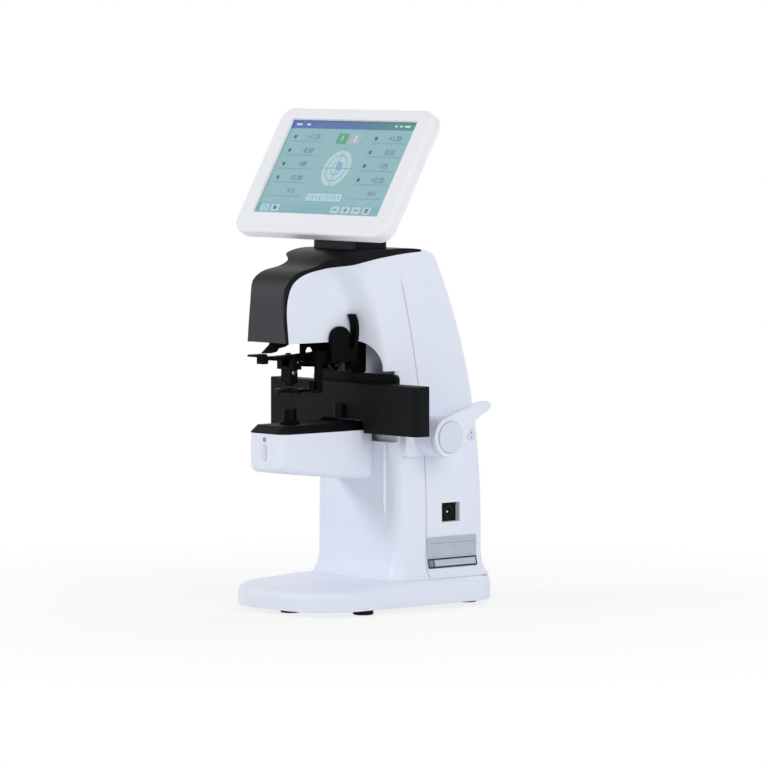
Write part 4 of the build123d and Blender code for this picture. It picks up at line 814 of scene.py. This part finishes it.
bright_ink = page_colour("page_white_ink", "EAF4F6", "F2F8F9", 0.95)
brights = bmesh.new()
for place, length in ((-70.0, 7.0), (-58.0, 4.0), (52.0, 3.0), (58.0, 3.0), (66.0, 7.0)):
    add_plate(brights, (place, 40.7), (length, 1.4), 0.4, TILE)
add_figures(brights, "1", (-8.2, 28.0), 5.6, TILE)
add_figures(brights, "2", (8.2, 28.0), 5.6, TILE)
close_drawing(brights, "page_white_marks", bright_ink, "display", page_plane)

# %% [markdown]
# ## The marking unit
# Under the head hangs the unit that dots a lens: a lever with a thumb tab, a lower link, and a
# block with three pens that both carry level. Its parts are milled plates, so each is drawn as an
# outline seen from the side and then given its thickness. Outlines with holes are filled by
# Blender's own triangle fill. A Bevel modifier rounds only edges that turn by an angle, so the
# flat edges inside a filled face stay as they are.

# %% Outlines
here = Matrix.Identity(4)


def add_side_form(drawing, outline, left, right, holes=(), rounds=None):
    """Adds an outline of (y, z) points from left to right in x.

    holes are (y, z, radius), and rounds are the numbers of corners and their radius.
    """
    corners = [drawing.verts.new((left, y, z)) for y, z in outline]
    face = drawing.faces.new(corners)
    if rounds:
        picked = [corners[place] for place in rounds[0]]
        bmesh.ops.bevel(
            drawing, geom=picked, offset=rounds[1], segments=10, profile=0.5, affect="VERTICES", material=-1
        )
        face = drawing.faces[:][-1]
    faces = [face]
    if holes:
        edges = list(face.edges)
        bmesh.ops.delete(drawing, geom=[face], context="FACES_ONLY")
        for y, z, radius in holes:
            place = Matrix.Translation((left, y, z)) @ Matrix.Rotation(pi / 2, 4, "Y")
            rim = bmesh.ops.create_circle(drawing, segments=24, radius=radius, matrix=place)["verts"]
            edges += list({edge for corner in rim for edge in corner.link_edges})
        filled = bmesh.ops.triangle_fill(drawing, use_beauty=True, edges=edges)["geom"]
        faces = [item for item in filled if isinstance(item, bmesh.types.BMFace)]
    lifted = bmesh.ops.extrude_face_region(drawing, geom=faces, use_keep_orig=True)
    raised = [item for item in lifted["geom"] if isinstance(item, bmesh.types.BMVert)]
    bmesh.ops.translate(drawing, vec=(right - left, 0.0, 0.0), verts=raised)


print("helper for outlines ready")

# %% [markdown]
# Blocks and round bars come straight from Blender's cube and cone. A cone whose two radii are
# the same is a round bar, so one helper serves for pins, screws and the pens' points.

# %% Blocks and round bars
def add_block(drawing, low, high):
    """Adds a block between two corners, in mm."""
    corners = bmesh.ops.create_cube(drawing, size=1.0)["verts"]
    bmesh.ops.scale(drawing, vec=[b - a for a, b in zip(low, high)], verts=corners)
    bmesh.ops.translate(drawing, vec=[(a + b) / 2 for a, b in zip(low, high)], verts=corners)


def add_round(drawing, start, length, radius, end_radius=None, turned=None):
    """Adds a round bar or cone that starts at a point and runs up, or along x where turned."""
    place = Matrix.Translation(start)
    if turned:
        place = place @ Matrix.Rotation(turned, 4, "Y")
    bmesh.ops.create_cone(
        drawing,
        cap_ends=True,
        segments=24,
        radius1=radius,
        radius2=radius if end_radius is None else end_radius,
        depth=length,
        matrix=place @ Matrix.Translation((0, 0, length / 2)),
    )


print("helpers for blocks and bars ready")

# %% [markdown]
# The lever turns on a pin in the unit's frame, runs forward over the pens and ends in a block
# with a thin thumb tab.

# %% Marking lever
lever_form = bmesh.new()
add_side_form(
    lever_form,
    (
        (-24.9, 214.0), (-25.7, 216.1), (-27.8, 217.0), (-36.0, 215.3), (-64.0, 213.6), (-76.3, 213.4),
        (-84.3, 213.0), (-97.5, 213.0), (-98.5, 215.3), (-103.2, 215.3), (-103.2, 207.0), (-97.5, 207.0),
        (-96.8, 210.0), (-90.0, 209.4), (-81.0, 209.1), (-64.0, 209.6), (-36.0, 210.9), (-27.8, 211.0),
        (-25.7, 211.9),
    ),
    -4.0,
    4.0,
    holes=((-27.8, 214.0, 1.55),),
)
piece = close_drawing(
    lever_form, "marking_lever_plate", finishes["black_mechanism"], "marker", here, 0.3
)
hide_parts("marking_lever")

tab_form = bmesh.new()
add_plate(tab_form, (0.0, -107.3), (12.0, 10.0), 1.8, (213.3, 215.1))
close_drawing(tab_form, "thumb_tab", finishes["black_mechanism"], "marker", here, 0.3)

# %% [markdown]
# A bent stop above keeps the lever from rising too far. It is fixed to the head.

# %% Stop above the lever
stop_form = bmesh.new()
add_side_form(
    stop_form,
    (
        (-73.4, 224.5), (-73.4, 222.4), (-77.5, 220.4), (-84.6, 219.2), (-87.0, 216.6), (-92.0, 215.7),
        (-99.7, 215.7), (-91.0, 222.4), (-90.0, 224.5),
    ),
    -3.0,
    3.0,
)
piece = close_drawing(
    stop_form, "bent_lever_stop", finishes["black_mechanism"], "housing", here, 0.3
)
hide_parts("lever_stop")

# %% [markdown]
# Both links end inside the pen block, between its cheeks. A plate with a round window stands at
# the right of them and is fixed to the frame, which guards the fingers.

# %% Lower link and guard plate
link_form = bmesh.new()
add_side_form(
    link_form,
    (
        (-25.6, 203.5), (-26.2, 205.0), (-27.8, 205.6), (-64.6, 207.6), (-66.4, 206.6), (-66.4, 205.0),
        (-64.6, 203.8), (-27.8, 201.4), (-26.2, 202.0),
    ),
    -4.0,
    4.0,
    holes=((-27.8, 203.5, 1.55),),
)
piece = close_drawing(
    link_form, "lower_link_plate", finishes["black_mechanism"], "lower_link", here, 0.3
)
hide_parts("lower_link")

guard_form = bmesh.new()
add_side_form(
    guard_form,
    ((-34.0, 224.5), (-66.8, 224.5), (-66.8, 211.0), (-63.4, 207.4), (-34.0, 207.4)),
    7.6,
    9.3,
    holes=((-57.3, 215.9, 3.8),),
)
close_drawing(
    guard_form, "marking_guard_plate", finishes["black_mechanism"], "housing", here, 0.3
)

# %% [markdown]
# The pen block is a bar with a raised cheek on each side and a narrow foot, out of which the
# three pen points look.

# %% Pen block
block_form = bmesh.new()
add_block(block_form, (-11.0, -75.3, 201.5), (11.0, -67.2, 204.4))
for side in (-1, 1):
    inner, outer = sorted((side * 4.6, side * 11.0))
    add_block(block_form, (inner, -75.3, 204.2), (outer, -67.2, 211.0))
    inner, outer = sorted((side * 4.6, side * 7.3))
    add_side_form(
        block_form,
        (
            (-73.3, 201.6), (-73.3, 210.6), (-68.5, 214.6), (-65.6, 214.6), (-63.6, 212.6),
            (-63.6, 204.0), (-66.0, 201.6),
        ),
        inner,
        outer,
    )
add_block(block_form, (-6.2, -75.0, 190.0), (6.2, -67.2, 201.7))
piece = close_drawing(
    block_form, "pen_block", finishes["black_mechanism"], "pen_carrier", here, 0.35
)
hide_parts("pen_holder")

# %% [markdown]
# Each pen shows as a bar with a short point. The screws and the two pins that hold the block
# between the links are bright steel, and are the only light spots of the unit.

# %% Pens, screws and pins
pen_form = bmesh.new()
for across in (-3.6, 0.0, 3.6):
    add_round(pen_form, (across, -71.0, 187.0), 3.2, 0.5, 1.7)
    add_round(pen_form, (across, -71.0, 190.2), 8.0, 1.7)
piece = close_drawing(
    pen_form, "pen_points", finishes["black_insert"], "pen_carrier", here
)
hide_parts("pens")

screw_form = bmesh.new()
add_round(screw_form, (6.2, -71.0, 199.0), 0.8, 2.3, 1.9, turned=pi / 2)
add_round(screw_form, (10.4, -71.2, 207.6), 0.8, 0.8, turned=pi / 2)
piece = close_drawing(
    screw_form, "pen_clamp_screws", finishes["bright_steel"], "pen_carrier", here
)
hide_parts("holder_screws")

pin_form = bmesh.new()
for height in (211.9, 209.1):
    add_round(pin_form, (-7.3, -67.4, height), 14.6, 1.3, turned=pi / 2)
piece = close_drawing(
    pin_form, "pen_block_pins", finishes["bright_steel"], "pen_carrier", here
)
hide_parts("holder_pins")

# %% [markdown]
# The presser slides on a blackened rod: a bored slider, a side plate with a round top and a
# curved fin for the finger, and a leg that runs down to a ring with three soft pins, which
# hold the lens on its support. The slider comes first. Its outline is seen from above, so it is
# drawn with x in the place of z, and a matrix that swaps these two axes sets it upright.

# %% Slider of the presser
swap_x_and_z = Matrix(((0, 0, 1, 0), (0, 1, 0, 0), (1, 0, 0, 0), (0, 0, 0, 1)))
slider = bmesh.new()
add_side_form(
    slider,
    ((-34.0, 11.5), (-22.2, 11.5), (-22.2, 26.6), (-34.0, 26.6)),
    207.0,
    220.9,
    holes=((-28.0, 17.0, 3.05),),
)
bmesh.ops.transform(slider, matrix=swap_x_and_z, verts=slider.verts)
slider_mesh = bpy.data.meshes.new("slider_part")
slider.to_mesh(slider_mesh)
slider.free()
print("slider faces:", len(slider_mesh.polygons))

# %% [markdown]
# The round top of the side plate is made by bevelling two corners of its outline. The fin is a
# curved strip: one line of points, and the same line again 3.4 mm further forward.

# %% Lens presser
presser_form = bmesh.new()
add_side_form(
    presser_form,
    (
        (-50.5, 207.0), (-50.5, 237.0), (-29.5, 237.0), (-29.5, 220.9), (-22.1, 220.9), (-22.1, 207.0),
    ),
    25.6,
    29.6,
    rounds=((1, 2), 10.4),
)
presser_form.from_mesh(slider_mesh)
bpy.data.meshes.remove(slider_mesh)
add_block(presser_form, (18.0, -61.5, 207.0), (24.4, -33.8, 217.0))
add_block(presser_form, (20.0, -61.5, 182.5), (24.4, -55.6, 207.2))
add_block(presser_form, (13.4, -61.5, 182.5), (24.3, -55.6, 192.0))
add_block(presser_form, (8.6, -62.0, 182.5), (24.2, -58.9, 185.5))
add_ring(presser_form, (0.0, -71.0), 10.3, 3.4, (182.5, 185.5))
fin_line = (
    (-26.0, 217.9), (-24.4, 224.0), (-23.6, 230.0), (-23.5, 236.0), (-24.4, 241.5), (-27.0, 247.0),
)
fin_back = [(y - 3.4, z - 0.5 * (z > 240)) for y, z in reversed(fin_line)]
add_side_form(presser_form, list(fin_line) + fin_back, 25.7, 33.5)
piece = close_drawing(
    presser_form, "presser_arm_body", finishes["black_mechanism"], "presser", here, 0.4
)
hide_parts("presser_arm")

# %% [markdown]
# ## The table lever
# The lever on the right side is one white moulding: a disc, and an arm that flows out of the
# disc's upper edge and narrows to a round tip. The disc is a section spun round the lever's
# axis, with a fine groove that sets its rim off from the cap.

# %% Disc of the lever
lever_axis = (34.0, 144.5)


def spin_section(drawing, section):
    """Spins points of (x, distance from the lever's axis) into a closed round form."""
    y, z = lever_axis
    ring = [drawing.verts.new((x, y + reach, z)) for x, reach in section]
    edges = [drawing.edges.new(pair) for pair in zip(ring, ring[1:])]
    bmesh.ops.spin(
        drawing,
        geom=edges,
        cent=(section[0][0], y, z),
        axis=(1, 0, 0),
        angle=2 * pi,
        steps=72,
        use_merge=True,
        use_duplicate=False,
    )


disc_section = (
    (77.0, 0.0), (77.0, 16.3), (77.4, 16.9), (81.0, 16.9), (81.7, 16.6), (82.0, 15.9),
    (82.0, 13.5), (81.3, 13.4), (81.3, 12.7), (82.0, 12.6), (82.0, 0.0),
)
disc_shape = bmesh.new()
spin_section(disc_shape, disc_section)
bmesh.ops.remove_doubles(disc_shape, verts=disc_shape.verts, dist=0.0005)
bmesh.ops.recalc_face_normals(disc_shape, faces=disc_shape.faces)
disc_mesh = bpy.data.meshes.new("lever_disc_part")
disc_shape.to_mesh(disc_mesh)
disc_shape.free()
print("disc faces:", len(disc_mesh.polygons))

# %% [markdown]
# The arm is a flat outline, a hair thinner than the disc, so that its end hides just under the
# disc's face. Disc and arm then become one piece, which stands for the solid lever.

# %% Arm of the lever
arm_shape = bmesh.new()
add_side_form(
    arm_shape,
    (
        (29.3, 158.4), (28.9, 160.5), (33.0, 161.6), (39.0, 163.6), (48.0, 166.6), (58.0, 169.5),
        (67.0, 171.8), (73.0, 172.7), (76.6, 172.5), (79.2, 170.9), (79.9, 168.6), (78.8, 166.2),
        (75.6, 164.2), (69.0, 161.3), (62.5, 157.0), (57.0, 151.0), (53.0, 145.0), (50.4, 140.6),
        (48.2, 141.9), (48.3, 148.0), (44.3, 154.8), (38.0, 158.4), (33.0, 158.9),
    ),
    77.0,
    81.95,
)
arm_shape.from_mesh(disc_mesh)
bpy.data.meshes.remove(disc_mesh)
piece = close_drawing(
    arm_shape, "table_lever_moulding", finishes["white_shell"], "lever", here, 0.9
)
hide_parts("table_lever")

# %% [markdown]
# A turned cap closes the disc. It has a shallow dish and a small round hollow in its middle,
# where the moulding's gate was.

# %% Dished cap
cap_section = (
    (82.0, 0.0), (82.2, 0.0), (82.25, 3.6), (82.6, 4.6), (82.75, 8.0), (83.05, 10.6),
    (83.2, 11.5), (83.1, 12.4), (82.7, 13.0), (82.0, 13.0), (82.0, 0.0),
)
cap_form = bmesh.new()
spin_section(cap_form, cap_section)
piece = close_drawing(
    cap_form, "dished_lever_cap", finishes["grey_plastic"], "lever", here
)
for facet in piece.data.polygons:
    facet.use_smooth = True
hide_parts("lever_cap")

# %% [markdown]
# ## Two small inserts in the housing
# A white strip closes the lower edge of the table's opening, as a threshold does; it leaves a
# gap where the sector gear swings. A black plate fills the pocket round the supply socket.

# %% Threshold strip and socket plate
strip_form = bmesh.new()
for left, right in ((-44.3, 2.0), (16.0, 44.3)):
    add_block(strip_form, (left, 5.6, 139.9), (right, 7.6, 145.4))
close_drawing(
    strip_form, "opening_threshold", finishes["white_shell"], "housing", here, 0.4
)

plate_form = bmesh.new()
add_block(plate_form, (46.6, 51.6, 71.2), (47.6, 71.2, 86.8))
close_drawing(
    plate_form, "socket_plate", finishes["black_insert"], "housing", here, 0.3
)

# %% [markdown]
# ## Light, floor and background
# A white studio sweep shows a white device by its soft shadows only. The main lamp stands to the
# front left, at head height, so that the front faces are the brightest, the right side is a
# little darker, and the overhanging head throws a soft shadow to the right. A weaker lamp from
# the right keeps the side clear, and one from behind lifts the upper edges.

# %% Light the room
def soft_box(name, place, size, power):
    """A square area lamp that looks at the device."""
    lamp = bpy.data.lights.new(name, "AREA")
    lamp.shape = "SQUARE"
    lamp.size = size
    lamp.energy = power
    holder = bpy.data.objects.new(name, lamp)
    bpy.context.scene.collection.objects.link(holder)
    aim = (Vector((0.0, 0.0, 0.2)) - Vector(place)).normalized()
    facing = aim.to_track_quat("-Z", "Y").to_matrix().to_4x4()
    holder.matrix_world = Matrix.Translation(place) @ facing


soft_box("front_box", (-1.2, -2.4, 1.4), 0.9, 29.0)
soft_box("side_box", (2.2, -0.2, 1.1), 1.6, 21.0)
soft_box("rear_box", (-0.4, 1.8, 2.0), 1.4, 9.0)
print("lamps:", len(bpy.data.lights))

# %% [markdown]
# The room itself gives a dim even light from all sides. The camera sees it as pure white, and so
# do reflections and glass: the Light Path node tells these rays from the ones that carry light.

# %% White room
room = bpy.data.worlds.new("white_room")
bpy.context.scene.world = room
room.use_nodes = True
room_tree = room.node_tree
room_tree.nodes.clear()
rays = add_node(room_tree, "LightPath")
straight = add_node(
    room_tree,
    "Math",
    {"operation": "MAXIMUM"},
    {0: rays.outputs["Is Camera Ray"], 1: rays.outputs["Is Transmission Ray"]},
)
seen = add_node(
    room_tree,
    "Math",
    {"operation": "MAXIMUM"},
    {0: straight.outputs[0], 1: rays.outputs["Is Glossy Ray"]},
)
ambient = add_node(room_tree, "Background", {"Strength": 0.42, "Color": linear("FFFFFF")})
white = add_node(room_tree, "Background", {"Strength": 1.0, "Color": linear("FFFFFF")})
either = add_node(
    room_tree,
    "MixShader",
    {},
    {"Fac": seen.outputs[0], 1: ambient.outputs["Background"], 2: white.outputs["Background"]},
)
add_node(room_tree, "OutputWorld", {}, {"Surface": either.outputs["Shader"]})
print("nodes of the room:", len(room_tree.nodes))

# %% [markdown]
# The floor is a pale sheet that keeps the device's shadow. Seen by the camera it is mostly plain
# white, and wholly so 0.6 metres away, so that no line shows where it ends. The distance from
# the device comes from Object coordinates, so the white lies still when the camera moves.

# %% Lay the floor
ground = bmesh.new()
floor_radius = 6.0
bmesh.ops.create_circle(ground, cap_ends=True, segments=64, radius=floor_radius)
floor_mesh = bpy.data.meshes.new("studio_floor")
ground.to_mesh(floor_mesh)
ground.free()
floor = bpy.data.objects.new("studio_floor", floor_mesh)
bpy.context.scene.collection.objects.link(floor)
print("floor across, in metres:", 2 * floor_radius)

# %% [markdown]
# Its paper is matt, so it shows no highlight. An emission of plain white is mixed over it for the
# camera and for reflections: four fifths of it under the device, all of it further out.

# %% Finish of the floor
floor_finish, floor_tree, floor_shader = start_finish("matt_white_sweep", "F4F4F4", 0.9)
floor_rays = add_node(floor_tree, "LightPath")
floor_seen = add_node(
    floor_tree,
    "Math",
    {"operation": "MAXIMUM"},
    {0: floor_rays.outputs["Is Camera Ray"], 1: floor_rays.outputs["Is Glossy Ray"]},
)
floor_place = add_node(floor_tree, "TexCoord")
floor_reach = add_node(
    floor_tree, "VectorMath", {"operation": "LENGTH"}, {0: floor_place.outputs["Object"]}
)
floor_share = add_node(
    floor_tree,
    "MapRange",
    {"From Min": 0.15, "From Max": 0.6, "To Min": 0.78, "To Max": 1.0},
    {"Value": floor_reach.outputs["Value"]},
)
share_white = add_node(
    floor_tree,
    "Math",
    {"operation": "MULTIPLY"},
    {0: floor_seen.outputs[0], 1: floor_share.outputs["Result"]},
)
glow = add_node(floor_tree, "Emission", {"Strength": 1.0, "Color": linear("FFFFFF")})
blend = add_node(
    floor_tree,
    "MixShader",
    {},
    {"Fac": share_white.outputs[0], 1: floor_shader.outputs["BSDF"], 2: glow.outputs["Emission"]},
)
floor_tree.links.new(blend.outputs["Shader"], floor_tree.nodes["Material Output"].inputs["Surface"])
floor_mesh.materials.append(floor_finish)
bpy.context.scene.view_settings.view_transform = "Standard"
print("floor finished, view transform:", bpy.context.scene.view_settings.view_transform)
